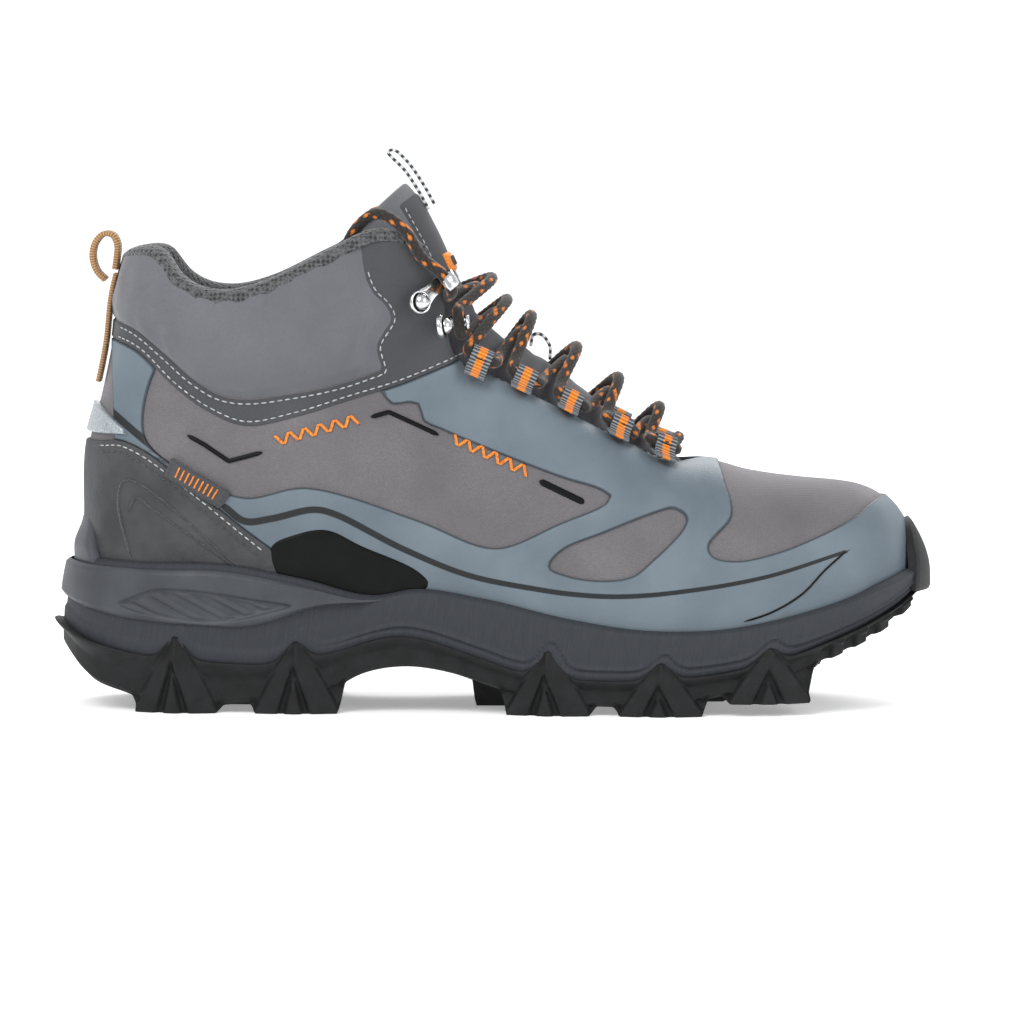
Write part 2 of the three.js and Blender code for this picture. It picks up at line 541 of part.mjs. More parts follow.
// Rolled edge along the collar, from one facing round the heel to the other.
function collarBinding() {
  const collar = HALF.filter(u => u <= COLLAR_U);
  const stations = [...collar.slice(1).reverse().map(u => -u), ...collar];
  const section = [[0, 0.5], [0.2, 1.8], [-2, 3.2], [-4.6, 3], [-6.9, 1.9], [-7.2, 0.5]];
  const fade = w => mix(0.7, 1, ramp(0.42, 0.36, Math.abs(w)));
  return slab(
    stations.map(w => section.slice(0, 4).map(([d, rise]) => {
      const p = skin(w, 1, d * fade(w));
      p.z = Math.max(skinPoint(w, 1).z, p.z) + rise;
      return p;
    })),
    stations.map(w => [section[5], section[5], section[4], section[4]].map(([d, rise], i) => {
      const p = skin(w, 1, d * fade(w));
      p.z = Math.max(skinPoint(w, 1).z, p.z) + rise;
      return p;
    })));
}

// ---------------------------------------------------------------- webbing loops
// A flat band of webbing: a closed strip of `width` along Y that follows a side-view line.
function webbing(line, width, thickness, y = 0) {
  const curve = new THREE.CatmullRomCurve3(line.map(([x, z]) => new THREE.Vector3(x, 0, z)), false, 'centripetal');
  const count = line.length * 3;
  const points = curve.getSpacedPoints(count);
  const edge = side => points.map((p, i) => {
    const t = curve.getTangentAt(i / count);
    return [p.x - t.z * side * thickness / 2, p.z + t.x * side * thickness / 2];
  });
  return sidePrism([...edge(1), ...edge(-1).reverse()], y - width / 2, y + width / 2);
}
const HEEL_LOOP = [[-131.6, 151.5], [-131, 156], [-130.8, 160], [-132.4, 163.4], [-135.6, 163.8], [-138.6, 160.5],
  [-139.4, 155.5], [-138, 151], [-135, 147.8]];

// ---------------------------------------------------------------- tongue
// Centre line of its front face, [x, z], from the throat base up to the top edge.
const RIDGE = [[66.5, 83.5], [61.5, 88], [51.5, 95], [30.5, 110], [13, 123], [-2, 132.5], [-12, 147], [-20.5, 165],
  [-27.5, 177.5], [-31, 181.5]];
const ridgeCurve = new THREE.CatmullRomCurve3(RIDGE.map(([x, z]) => new THREE.Vector3(x, 0, z)), false, 'centripetal');
const tongueHalfWidth = smooth([[0, 5.5], [0.05, 9.5], [0.12, 14], [0.35, 21.3], [0.55, 22.1], [0.8, 21.7],
  [1, 21.3]]);
const tongueDrop = smooth([[0, 8], [0.05, 16], [0.12, 26], [0.35, 38], [0.55, 46], [0.72, 42], [0.88, 38], [1, 38]]);
const tongueWrap = smooth([[0, 0.9], [0.12, 1.1], [0.35, 1.2], [0.7, 1.3], [0.9, 1.5], [1, 1.5]]);

// t runs up the tongue, q across it from -1 (outer side) to 1, d outside its face.
function tonguePoint(t, q, d) {
  const centre = ridgeCurve.getPointAt(t);
  const along = ridgeCurve.getTangentAt(t);
  const front = new THREE.Vector3(along.z, 0, -along.x);
  const angle = q * tongueWrap(t);
  const a = tongueHalfWidth(t);
  const b = tongueDrop(t);
  const outY = Math.sin(angle) / a;
  const outN = Math.cos(angle) / b;
  const size = Math.hypot(outY, outN);
  return centre
    .addScaledVector(front, -b * (1 - Math.cos(angle)) + d * outN / size)
    .add(new THREE.Vector3(0, a * Math.sin(angle) + d * outY / size, 0));
}
const T_STEPS = 16;
const Q_STEPS = 10;
// A layer of the tongue between two depths; it leaves out some steps at its lower, upper and side edges.
function tongueLayer(outer, inner, trimLow = 0, trimHigh = 0, trimSide = 0) {
  const rows = span(0, 1, T_STEPS).slice(trimLow, T_STEPS + 1 - trimHigh);
  const columns = span(-1, 1, Q_STEPS).slice(trimSide, Q_STEPS + 1 - trimSide);
  const grid = depth => rows.map(t => columns.map(q => tonguePoint(t, q, depth)));
  return slab(grid(outer), grid(inner));
}
const FOAM_TOP = -TONGUE_FACE - GAP;
const FOAM_LOW = FOAM_TOP - TONGUE_FOAM;
add('tongue_face', tongueLayer(0, -TONGUE_FACE), 'ankle');
add('tongue_foam', tongueLayer(FOAM_TOP, FOAM_LOW, 2, 1, 1), 'foam');
add('tongue_lining', tongueLayer(FOAM_LOW - 2 * GAP, FOAM_LOW - 2 * GAP - TONGUE_LINING, 1), 'mesh');

// ---------------------------------------------------------------- places along the throat and the facing
const ROWS = [0.739, 0.705, 0.661, 0.621, 0.584];     // lace tabs, from the throat base up
const HOOK_ROWS = [0.517, 0.466];
const ROW_LIFT = [0.6, 0, 0, 0, 1.4];                // more height where the edge curves sharply
const fastenerAt = (u, side, inset, lift) => {
  const w = side < 0 ? u : 2 - u;
  const v = 1 - inset;
  const normal = skinNormal(w, v);
  const along = skinPoint(w + 0.01 * -side, v).sub(skinPoint(w - 0.01 * -side, v)).normalize();
  const down = along.clone().cross(normal).multiplyScalar(-side);
  if (down.z > 0) down.negate();
  return { origin: skinPoint(w, v).addScaledVector(normal, lift), along, normal, down };
};
// Extrudes a section, drawn [down the side, out from the surface], along the throat edge.
function onSurface(place, shape, width) {
  const geometry = new THREE.ExtrudeGeometry(shape, { depth: width, bevelEnabled: false, curveSegments: 6 });
  geometry.translate(0, 0, -width / 2);
  const axis = place.down.clone().cross(place.normal);
  geometry.applyMatrix4(new THREE.Matrix4().makeBasis(place.down, place.normal, axis).setPosition(place.origin));
  return toSolid(geometry);
}
const polygon = points => new THREE.Shape(points.map(([x, y]) => new THREE.Vector2(x, y)));
const arcPoints = (cx, cy, radius, from, to, count) => span(from, to, count)
  .map(a => [cx + radius * Math.cos(a), cy + radius * Math.sin(a)]);

const FLOOR = 2 * GAP + FILM + 0.6;                  // webbing lies on the film, clear of its curve
const EYE = LACE / 2 + 0.45;                         // inside radius of a tab's loop
const LOOP_OUT = EYE + 1;
const tabSection = polygon([
  [7.2, FLOOR], [7.2, FLOOR + 1.6], [2.6, FLOOR + LOOP_OUT + 1.6],
  ...arcPoints(-0.6, FLOOR + LOOP_OUT, LOOP_OUT, 1.1, 4.6, 9),
]);
const hookSection = polygon([
  [9.6, 0.3], [9.6, 1.1], ...arcPoints(-1.4, 4.5, EYE + 0.35, 4.7, 1.2, 8), [1.6, 7.7],
  [1.9, 8.4], ...arcPoints(-1.4, 4.5, EYE + 1.15, 1.2, 4.7, 8)]);

// Domed rivet with a flat rim, [radius, height].
const RIVET = [[0, 1.9], [3.5, 1.9], [3.6, 2.6], [2.9, 3], [2.5, 3], [2.1, 4], [1.2, 4.6], [0, 4.8]];

const tabs = [];
const hooks = [];
for (const side of [-1, 1]) {
  const name = side < 0 ? 'lateral' : 'medial';
  ROWS.forEach((u, i) => {
    tabs.push({ name: `lace_tab_${name}_${i + 1}`, place: fastenerAt(u, side, 0.035, ROW_LIFT[i]), side });
  });
  HOOK_ROWS.forEach((u, i) => {
    hooks.push({ name: `${name}_${i + 1}`, place: fastenerAt(u, side, 0.07, 0.8 + 1.7 * i), side });
  });
}

// ---------------------------------------------------------------- laces
const towards = (place, down, out, along) => place.origin.clone().addScaledVector(place.down, down)
  .addScaledVector(place.normal, out).addScaledVector(place.along, along);
// The lace's way in (1) and out (-1) of a tab or a hook.
const eyeOf = item => (end => (hooks.includes(item)
  ? towards(item.place, -1.4, 4.5, end * 3.6) : towards(item.place, -0.6, FLOOR + LOOP_OUT, end * 4.6)));
const eyeRow = side => [...tabs.filter(tab => tab.side === side), ...hooks.filter(hook => hook.side === side)];
const nearestRidge = point => {
  let best = 0;
  for (let t = 0; t <= 1; t += 0.005) {
    if (ridgeCurve.getPointAt(t).distanceTo(point) < ridgeCurve.getPointAt(best).distanceTo(point)) best = t;
  }
  return best;
};
// A curve whose steps fall on its own points, so that the lace is straight inside every eye.
class Route extends THREE.CatmullRomCurve3 {
  getPointAt(t) { return this.getPoint(t); }
  getTangentAt(t) { return this.getTangent(t); }
}
const CROSS_LOW = 4.7;                               // lace centre above the tongue where two strands cross
const CROSS_HIGH = 10.8;
function lacePoints(firstSide, onTop) {
  const rows = [eyeRow(-1), eyeRow(1)];
  const points = [tonguePoint(0.05, 0, 6).setY(firstSide * 1)];
  points.push(tonguePoint(0.05, firstSide * 0.6, 6.5));
  let side = firstSide;
  for (let i = 0; i < 7; i++) {
    const eye = eyeOf(rows[side < 0 ? 0 : 1][i]);
    points.push(eye(1), eye(-1));
    if (i === 6) break;
    const next = eyeOf(rows[side < 0 ? 1 : 0][i + 1]);
    const here = nearestRidge(eye(-1).setY(0));
    const there = nearestRidge(next(1).setY(0));
    const lift = (onTop === (i % 2 === 0)) ? CROSS_HIGH : CROSS_LOW;
    const flank = mix(CROSS_LOW, lift, 0.4) + (i > 3 ? 2.4 : 0);
    points.push(tonguePoint(mix(here, there, 0.15), side * 0.52, flank));
    points.push(tonguePoint(mix(here, there, 0.5), 0, lift));
    points.push(tonguePoint(mix(here, there, 0.85), -side * 0.52, flank));
    side = -side;
  }
  return [...points, ...tuckedEnd(side)];
}
// Over the collar, down inside the ankle, along the footbed and back.
const FOOTBED_TOP = 4.4;
function tuckedEnd(side) {
  const down = [[-24, 31.8, 156], [-31, 32.2, 166.5], [-40, 28.6, 171.2], [-49, 24.6, 163], [-51, 24, 150],
    [-51, 22.9, 122], [-50, 22.6, 80], [-45, 22, 50]];
  const lying = [[-28, 21], [0, 20], [30, 19], [58, 18], [69, 14.5], [69, 7], [58, 4], [30, 4], [0, 4]];
  const rest = lying.map(([x, y]) => [x, y, boardTop(x) + FOOTBED_TOP + LACE / 2 + 2 * GAP]);
  return [...down, ...rest].map(([x, y, z]) => new THREE.Vector3(x, y * side, z));
}
const routes = [lacePoints(-1, true), lacePoints(1, false)].map(points => new Route(points, false, 'centripetal'));
const laceTube = (route, radius) => new THREE.ExtrudeGeometry(
  polygon(arcPoints(0, 0, radius, 0, Math.PI * 1.75, 7)),
  { steps: route.points.length - 1, extrudePath: route, bevelEnabled: false });

const laceSpace = routes.map(route => toSolid(laceTube(route, LACE / 2 + GAP)));
const clearOfLace = solid => laceSpace.reduce((rest, lace) => rest.subtract(lace), solid);
for (const tab of tabs) add(tab.name, clearOfLace(onSurface(tab.place, tabSection, TAB_WIDTH)), 'webbing');
for (const hook of hooks) {
  add(`hook_${hook.name}`, clearOfLace(onSurface(hook.place, hookSection, HOOK_WIDTH)), 'steel');
  const rivet = new THREE.LatheGeometry(RIVET.map(([r, h]) => new THREE.Vector2(r, h)), 12);
  const axis = hook.place.down.clone().cross(hook.place.normal);
  rivet.applyMatrix4(new THREE.Matrix4().makeBasis(hook.place.down, hook.place.normal, axis)
    .setPosition(towards(hook.place, 7, 0, 0)));
  add(`rivet_${hook.name}`, rivet, 'steel');
}
routes.forEach((route, i) => {
  const side = i ? 'medial' : 'lateral';
  add(`lace_${side}`, laceTube(route, LACE / 2), 'lace');
  const end = route.points.at(-1);
  const direction = route.getTangent(1);
  const aglet = new THREE.CylinderGeometry(LACE / 2 + 0.2, LACE / 2 + 0.2, 22, 10);
  aglet.applyQuaternion(new THREE.Quaternion().setFromUnitVectors(new THREE.Vector3(0, 1, 0), direction));
  aglet.translate(...end.clone().addScaledVector(direction, 11 + GAP).toArray());
  add(`aglet_${side}`, aglet, 'black');
});
add('collar_binding', collarBinding(), 'mesh');
add('heel_loop', webbing(HEEL_LOOP, 12, 1.2), 'orange');

// ---------------------------------------------------------------- on the tongue
const TONGUE_LOOP = [[-22.4, 172.4], [-26.2, 179.2], [-30.8, 186], [-35, 190.2], [-36.6, 192.2], [-34.6, 193],
  [-30, 189.2], [-24.6, 181.6], [-20.4, 174.2]];
add('tongue_loop', webbing(TONGUE_LOOP, 5, 1), 'webbing');
const KEEPER = [[13.2, 124.8], [14.2, 128.6], [17, 128.6], [19.8, 124.8], [19.9, 120]];
add('lace_keeper', webbing(KEEPER, 6, 1), 'webbing');
const tongueTile = (low, high, reach, outer) => {
  const rows = span(0, 1, T_STEPS).slice(low, high + 1);
  const grid = depth => rows.map(t => span(-reach, reach, 4).map(q => tonguePoint(t, q, depth)));
  return slab(grid(outer), grid(outer - 0.8));
};
add('tongue_patch', tongueTile(12, 15, 0.4, 1.2), 'band');
add('tongue_badge', tongueTile(12, 13, 0.2, 2.3), 'orange');

export default boot;
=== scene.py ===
"""Looks of a hiking boot for the right foot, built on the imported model. Shape rules are in mm and meshes in metres."""
import math

import bmesh
import bpy
import numpy as np
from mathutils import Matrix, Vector
from mathutils.kdtree import KDTree


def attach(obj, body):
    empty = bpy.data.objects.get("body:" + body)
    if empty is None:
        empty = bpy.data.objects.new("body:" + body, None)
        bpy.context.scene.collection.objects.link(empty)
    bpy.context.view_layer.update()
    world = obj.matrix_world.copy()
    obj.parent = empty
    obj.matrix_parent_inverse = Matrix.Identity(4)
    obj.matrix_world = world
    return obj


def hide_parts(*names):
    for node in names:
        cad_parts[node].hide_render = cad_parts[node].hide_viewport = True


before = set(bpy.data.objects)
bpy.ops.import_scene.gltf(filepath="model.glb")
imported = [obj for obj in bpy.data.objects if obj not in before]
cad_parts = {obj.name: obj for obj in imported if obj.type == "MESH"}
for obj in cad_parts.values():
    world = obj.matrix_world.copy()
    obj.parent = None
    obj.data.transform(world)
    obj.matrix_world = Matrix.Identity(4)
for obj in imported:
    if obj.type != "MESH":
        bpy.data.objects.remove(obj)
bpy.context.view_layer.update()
MM = 0.001
GAP = 0.3
FILM = 0.8
LACE = 4.0
RIB_PITCH = 1.25        # of the tab webbing
RIDGE_U = 0.78          # the throat ends here and the top line becomes the ridge
COLLAR_U = 0.40         # front end of the padded collar


# ---------------------------------------------------------------- smooth lines
def smooth(stations, period=0.0):
    """A cubic through given stations (t, value); a closed one repeats after period."""
    s = np.array(stations, float)
    if period:
        s = np.vstack([[s[-1, 0] - period, s[-1, 1]], s, [s[0, 0] + period, s[0, 1]], [s[1, 0] + period, s[1, 1]]])
    gap = np.diff(s[:, 0])
    slope = np.diff(s[:, 1]) / gap
    lean = np.empty(len(s))
    lean[0], lean[-1] = slope[0], slope[-1]
    lean[1:-1] = (slope[1:] * gap[:-1] + slope[:-1] * gap[1:]) / (gap[:-1] + gap[1:])

    def at(t):
        t = np.asarray(t, float)
        x = np.mod(t, period) if period else np.clip(t, s[0, 0], s[-1, 0])
        i = np.clip(np.searchsorted(s[:, 0], x, "left") - 1, 0, len(s) - 2)
        k = (x - s[i, 0]) / gap[i]
        a, b = s[i, 1], s[i + 1, 1]
        ma, mb = lean[i] * gap[i], lean[i + 1] * gap[i]
        return a + k * (ma + k * (3 * (b - a) - 2 * ma - mb + k * (ma + mb - 2 * (b - a))))

    return at


def mix(a, b, k):
    """Between a (k = 0) and b (k = 1)."""
    return a + (b - a) * k


def ramp(low, high, x):
    """Smooth step from 0 at low to 1 at high."""
    k = np.clip((np.asarray(x, float) - low) / (high - low), 0, 1)
    return k * k * (3 - 2 * k)


def unit(v):
    """Vectors at length 1."""
    v = np.asarray(v, float)
    return v / np.maximum(np.linalg.norm(v, axis=-1, keepdims=True), 1e-12)


def run_along(path):
    """Distance along a line at each of its points."""
    return np.concatenate([[0], np.cumsum(np.linalg.norm(np.diff(path, axis=0), axis=1))])


def spline(points, count, closed=False):
    """count + 1 evenly spaced points on a centripetal curve through the points."""
    p = np.array(points, float)
    p = np.vstack([p[-1], p, p[0], p[1]]) if closed else np.vstack([2 * p[0] - p[1], p, 2 * p[-1] - p[-2]])
    dense = []
    for i in range(1, len(p) - 2):
        p0, p1, p2, p3 = p[i - 1:i + 3]
        d0, d1, d2 = (max(np.sum((b - a) ** 2) ** 0.25, 1e-9) for a, b in ((p0, p1), (p1, p2), (p2, p3)))
        m1 = ((p1 - p0) / d0 - (p2 - p0) / (d0 + d1) + (p2 - p1) / d1) * d1
        m2 = ((p2 - p1) / d1 - (p3 - p1) / (d1 + d2) + (p3 - p2) / d2) * d1
        k = np.linspace(0, 1, 24, endpoint=False)[:, None]
        dense.append(p1 + k * (m1 + k * (3 * (p2 - p1) - 2 * m1 - m2 + k * (m1 + m2 - 2 * (p2 - p1)))))
    dense = np.vstack(dense + [p[-2:-1]])
    run = run_along(dense)
    want = np.linspace(0, run[-1], count + 1)
    return np.stack([np.interp(want, run, dense[:, c]) for c in range(p.shape[1])], axis=1)


# ---------------------------------------------------------------- levels along the boot and outlines in plan
board_top = smooth([(-141, 38), (-130, 36.5), (-60, 32), (0, 24), (50, 19), (100, 26), (135, 37), (150, 43)])
tread_base = smooth([(-153, 22), (-143, 12), (-128, 6), (-70, 5.5), (-55, 8.5), (-45, 13.5), (-32, 16), (-15, 14),
                     (0, 9), (12, 6), (72, 5.5), (98, 11.5), (112, 17), (125, 22), (140, 30), (153, 41)])
outsole_top = smooth([(-153, 30), (-145, 26), (-122, 19.8), (-100, 17.8), (-75, 17.2), (-57, 20.5), (-32, 26.5),
                      (-5, 19.5), (8, 15), (27, 12.5), (44, 12), (64, 13), (80, 15), (100, 19.5), (117, 25),
                      (131, 30.5), (142, 36), (153, 44)])
midsole_top = smooth([(-153, 52), (-130, 51), (-95, 50.4), (-71, 45.8), (-45, 40), (-32, 42), (-5, 38.8), (23, 32.2),
                      (44, 29), (60, 28.3), (79, 29.2), (95, 32), (120, 39.2), (134, 44), (146, 47), (153, 48)])
sole_x = smooth([(0, -152.6), (0.04, -147), (0.09, -135), (0.16, -115), (0.26, -88), (0.38, -55), (0.5, -22),
                 (0.6, 5), (0.68, 30), (0.75, 55), (0.81, 78), (0.86, 97), (0.91, 116), (0.955, 136.5),
                 (0.985, 150.4), (1, 152.6), (1.015, 150.4), (1.045, 136.5), (1.09, 116), (1.14, 97), (1.19, 78),
                 (1.25, 55), (1.32, 30), (1.4, 5), (1.5, -22), (1.62, -55), (1.74, -88), (1.84, -115),
                 (1.91, -135), (1.96, -147)], 2)
sole_y = smooth([(0, 0), (0.04, -19), (0.09, -32), (0.16, -40), (0.26, -43.5), (0.38, -44.5), (0.5, -45.5),
                 (0.6, -48.5), (0.68, -53), (0.75, -54.8), (0.81, -54.6), (0.86, -52), (0.91, -45), (0.955, -31),
                 (0.985, -12), (1, 3), (1.015, 18), (1.045, 36.5), (1.09, 49), (1.14, 54), (1.19, 53.5), (1.25, 50),
                 (1.32, 43.5), (1.4, 37), (1.5, 35.5), (1.62, 37.5), (1.74, 40), (1.84, 39), (1.91, 32),
                 (1.96, 19)], 2)
feather_x = smooth([(0, -141), (0.05, -136), (0.12, -119), (0.25, -85), (0.4, -45), (0.5, -19), (0.6, 8),
                    (0.68, 34), (0.75, 58), (0.82, 83), (0.88, 106), (0.94, 130), (0.975, 142), (1, 147.5),
                    (1.025, 142), (1.06, 130), (1.12, 106), (1.18, 83), (1.25, 58), (1.32, 34), (1.4, 8),
                    (1.5, -19), (1.6, -45), (1.75, -85), (1.88, -119), (1.95, -136)], 2)
feather_y = smooth([(0, 0), (0.05, -18), (0.12, -30), (0.25, -35), (0.4, -35.5), (0.5, -37), (0.6, -41),
                    (0.68, -45.5), (0.75, -48), (0.82, -47.5), (0.88, -43), (0.94, -32), (0.975, -17), (1, 2),
                    (1.025, 21), (1.06, 35), (1.12, 45), (1.18, 47.5), (1.25, 45), (1.32, 38.5), (1.4, 32),
                    (1.5, 29.5), (1.6, 30.5), (1.75, 33.5), (1.88, 29.5), (1.95, 18)], 2)
top_x = smooth([(0, -128), (0.05, -124.5), (0.1, -116), (0.15, -107), (0.21, -95), (0.28, -78), (0.34, -58),
                (COLLAR_U, -38), (0.445, -24), (0.49, -17.8), (0.53, -16.7), (0.57, -12), (0.61, 4), (0.66, 24),
                (0.71, 44), (0.75, 62), (RIDGE_U, 73.5), (0.84, 89), (0.92, 103), (1, 113)])
top_y = smooth([(0, 0), (0.05, 14), (0.1, 24), (0.15, 31), (0.21, 35.5), (0.28, 37.5), (0.34, 37), (COLLAR_U, 33),
                (0.445, 27), (0.49, 23.7), (0.53, 23.5), (0.57, 23.3), (0.61, 22.3), (0.66, 20.5), (0.71, 18),
                (0.75, 13.5), (RIDGE_U, 0)])
top_z = smooth([(0, 155), (0.05, 156.5), (0.1, 156), (0.15, 146.5), (0.21, 142.3), (0.28, 145.5), (0.34, 155),
                (COLLAR_U, 163.5), (0.445, 159), (0.49, 147), (0.53, 133), (0.57, 120), (0.61, 112.5),
                (0.66, 102.5), (0.71, 92.5), (0.75, 84.5), (RIDGE_U, 85), (0.84, 81.5), (0.92, 79), (1, 78)])
heel_swell = smooth([(0, 0), (0.26, 4.2), (0.47, 6), (0.6, 3.6), (0.75, 1.8), (0.9, 1.6), (1, 0)])
ankle_swell = smooth([(0, 0), (0.25, 3), (0.45, 1), (0.63, -2), (0.8, 0.5), (0.92, 1.4), (1, 0)])


# ---------------------------------------------------------------- surface of the upper
def around(w):
    """How far a station is from the heel, on either side: 0 at the heel, 1 at the toe."""
    place = np.round(np.mod(np.asarray(w, float) + 2, 2), 9)
    return np.where(place <= 1, place, 2 - place)


def side_of(w):
    """-1 on the outer side, 1 on the inner side."""
    return np.where(np.round(np.mod(np.asarray(w, float) + 2, 2), 9) <= 1, -1.0, 1.0)


def skin_point(w, v):
    """w runs round the boot from the heel, v from the sole (0) to the top line (1)."""
    w, v = np.broadcast_arrays(np.asarray(w, float), np.asarray(v, float))
    u, side = around(w), side_of(w)
    dome = ramp(0.4, 0.66, u)
    power = 2 / mix(2.2, 2.7, ramp(0.7, 1, u))
    inward = np.where(v >= 1, 0, mix(1 - v, np.maximum(np.cos(v * math.pi / 2), 0) ** power, dome))
    height = mix(v, np.sin(v * math.pi / 2) ** power, dome)
    foot = feather_x(w)
    edge_y = np.where(u >= RIDGE_U, 0, top_y(u) * side)
    turn = ramp(0, 0.16, u) * math.pi / 2
    swell = mix(heel_swell(v), ankle_swell(v), ramp(0, 0.16, u)) * (1 - ramp(0.42, 0.6, u))
    return np.stack([mix(top_x(u), foot, inward) - swell * np.cos(turn),
                     mix(edge_y, feather_y(w), inward) + swell * np.sin(turn) * side,
                     mix(board_top(foot) - 2, top_z(u), height)], axis=-1)


def skin_normal(w, v):
    """Outward direction of the surface."""
    step = 0.004
    level = np.clip(v, 0.03, 0.985)
    along = skin_point(w + step, level) - skin_point(w - step, level)
    up = skin_point(w, level + step) - skin_point(w, level - step)
    return unit(np.cross(along, up))


def skin(w, v, depth):
    """The point that lies depth outside the surface; both sides agree along the ridge."""
    w, v = np.broadcast_arrays(np.asarray(w, float), np.asarray(v, float))
    normal = skin_normal(w, v)
    twin = skin_normal(2 - w, v)
    on_ridge = ((v >= 1) & (around(w) >= RIDGE_U))[..., None]
    merged = (normal + twin) * (1, 0, 1)
    normal = np.where(on_ridge, unit(merged), normal)
    return skin_point(w, v) + normal * np.asarray(depth, float)[..., None]


def station_at(w, z):
    """The height station where the surface reaches level z."""
    w, z = np.broadcast_arrays(np.asarray(w, float), np.asarray(z, float))
    low, high = np.zeros(w.shape), np.ones(w.shape)
    for _ in range(24):
        middle = (low + high) / 2
        under = skin_point(w, middle)[..., 2] < z
        low, high = np.where(under, middle, low), np.where(under, high, middle)
    return (low + high) / 2


def sole_outward(w):
    """Level direction out of the sole at a station."""
    dx = sole_x(w + 0.01) - sole_x(w - 0.01)
    dy = sole_y(w + 0.01) - sole_y(w - 0.01)
    return unit(np.stack([dy, -dx, np.zeros_like(dx)], axis=-1))


def midsole_wall(w, h, d):
    """Outer wall of the midsole: h is 0 at the outsole and 1 at its top edge, d is outside it."""
    w, h = np.broadcast_arrays(np.asarray(w, float), np.asarray(h, float))
    x = sole_x(w)
    out = sole_outward(w)
    foot = np.stack([x, sole_y(w), outsole_top(x) + 0.8], axis=-1) - 3.2 * out
    lip = skin(w, station_at(w, midsole_top(x)), np.full(w.shape, 1.4)) + 3.4 * out
    lip[..., 2] = midsole_top(x)
    return mix(foot, lip, h[..., None]) + out * (np.asarray(d, float) + 2.4 * h * (1 - h))[..., None]


# ---------------------------------------------------------------- tongue
RIDGE = spline([(66.5, 83.5), (61.5, 88), (51.5, 95), (30.5, 110), (13, 123), (-2, 132.5), (-12, 147), (-20.5, 165),
                (-27.5, 177.5), (-31, 181.5)], 400)
tongue_half_width = smooth([(0, 5.5), (0.05, 9.5), (0.12, 14), (0.35, 21.3), (0.55, 22.1), (0.8, 21.7), (1, 21.3)])
tongue_drop = smooth([(0, 8), (0.05, 16), (0.12, 26), (0.35, 38), (0.55, 46), (0.72, 42), (0.88, 38), (1, 38)])
tongue_wrap = smooth([(0, 0.9), (0.12, 1.1), (0.35, 1.2), (0.7, 1.3), (0.9, 1.5), (1, 1.5)])


def ridge_at(t):
    """Middle of the tongue in side view, from the throat base (0) to its tip (1)."""
    run = np.clip(np.asarray(t, float), 0, 1) * (len(RIDGE) - 1)
    return np.stack([np.interp(run, np.arange(len(RIDGE)), RIDGE[:, c]) for c in (0, 1)], axis=-1)


def tongue_point(t, q, d):
    """t runs up the tongue, q across it from -1 (outer side) to 1, d outside its face."""
    t, q, d = np.broadcast_arrays(np.asarray(t, float), np.asarray(q, float), np.asarray(d, float))
    centre = ridge_at(t)
    along = unit(ridge_at(np.minimum(t + 0.004, 1)) - ridge_at(np.maximum(t - 0.004, 0)))
    front = np.stack([along[..., 1], -along[..., 0]], axis=-1)
    angle = q * tongue_wrap(t)
    a, b = tongue_half_width(t), tongue_drop(t)
    out_y, out_n = np.sin(angle) / a, np.cos(angle) / b
    size = np.hypot(out_y, out_n)
    back = -b * (1 - np.cos(angle)) + d * out_n / size
    return np.stack([centre[..., 0] + front[..., 0] * back, a * np.sin(angle) + d * out_y / size,
                     centre[..., 1] + front[..., 1] * back], axis=-1)


# ---------------------------------------------------------------- places of the tabs and hooks
TAB_ROWS = (0.739, 0.705, 0.661, 0.621, 0.584)      # from the throat base up
TAB_LIFT = (0.6, 0, 0, 0, 1.4)
HOOK_ROWS = (0.517, 0.466)
TAB_FLOOR = 2 * GAP + FILM + 0.6
TAB_EYE = LACE / 2 + 0.45
TAB_LOOP = TAB_EYE + 1


class Fastener:
    """A lace tab or hook: its seat on the surface and its own directions."""

    def __init__(self, u, side, inset, lift, hook):
        w, v = (u if side < 0 else 2 - u), 1 - inset
        self.side, self.hook = side, hook
        self.out = skin_normal(w, v)
        self.along = unit(skin_point(w - 0.01 * side, v) - skin_point(w + 0.01 * side, v))
        self.down = np.cross(self.along, self.out) * -side
        if self.down[2] > 0:
            self.down = -self.down
        self.seat = skin_point(w, v) + self.out * lift

    def at(self, down, out, along=0.0):
        return self.seat + self.down * down + self.out * out + self.along * along

    def eye(self, end):
        return self.at(-1.4, 4.5, end * 3.6) if self.hook else self.at(-0.6, TAB_FLOOR + TAB_LOOP, end * 4.6)


TABS = {side: [Fastener(u, side, 0.035, lift, False) for u, lift in zip(TAB_ROWS, TAB_LIFT)] for side in (-1, 1)}
HOOKS = {side: [Fastener(u, side, 0.07, 0.8 + 1.7 * i, True) for i, u in enumerate(HOOK_ROWS)] for side in (-1, 1)}


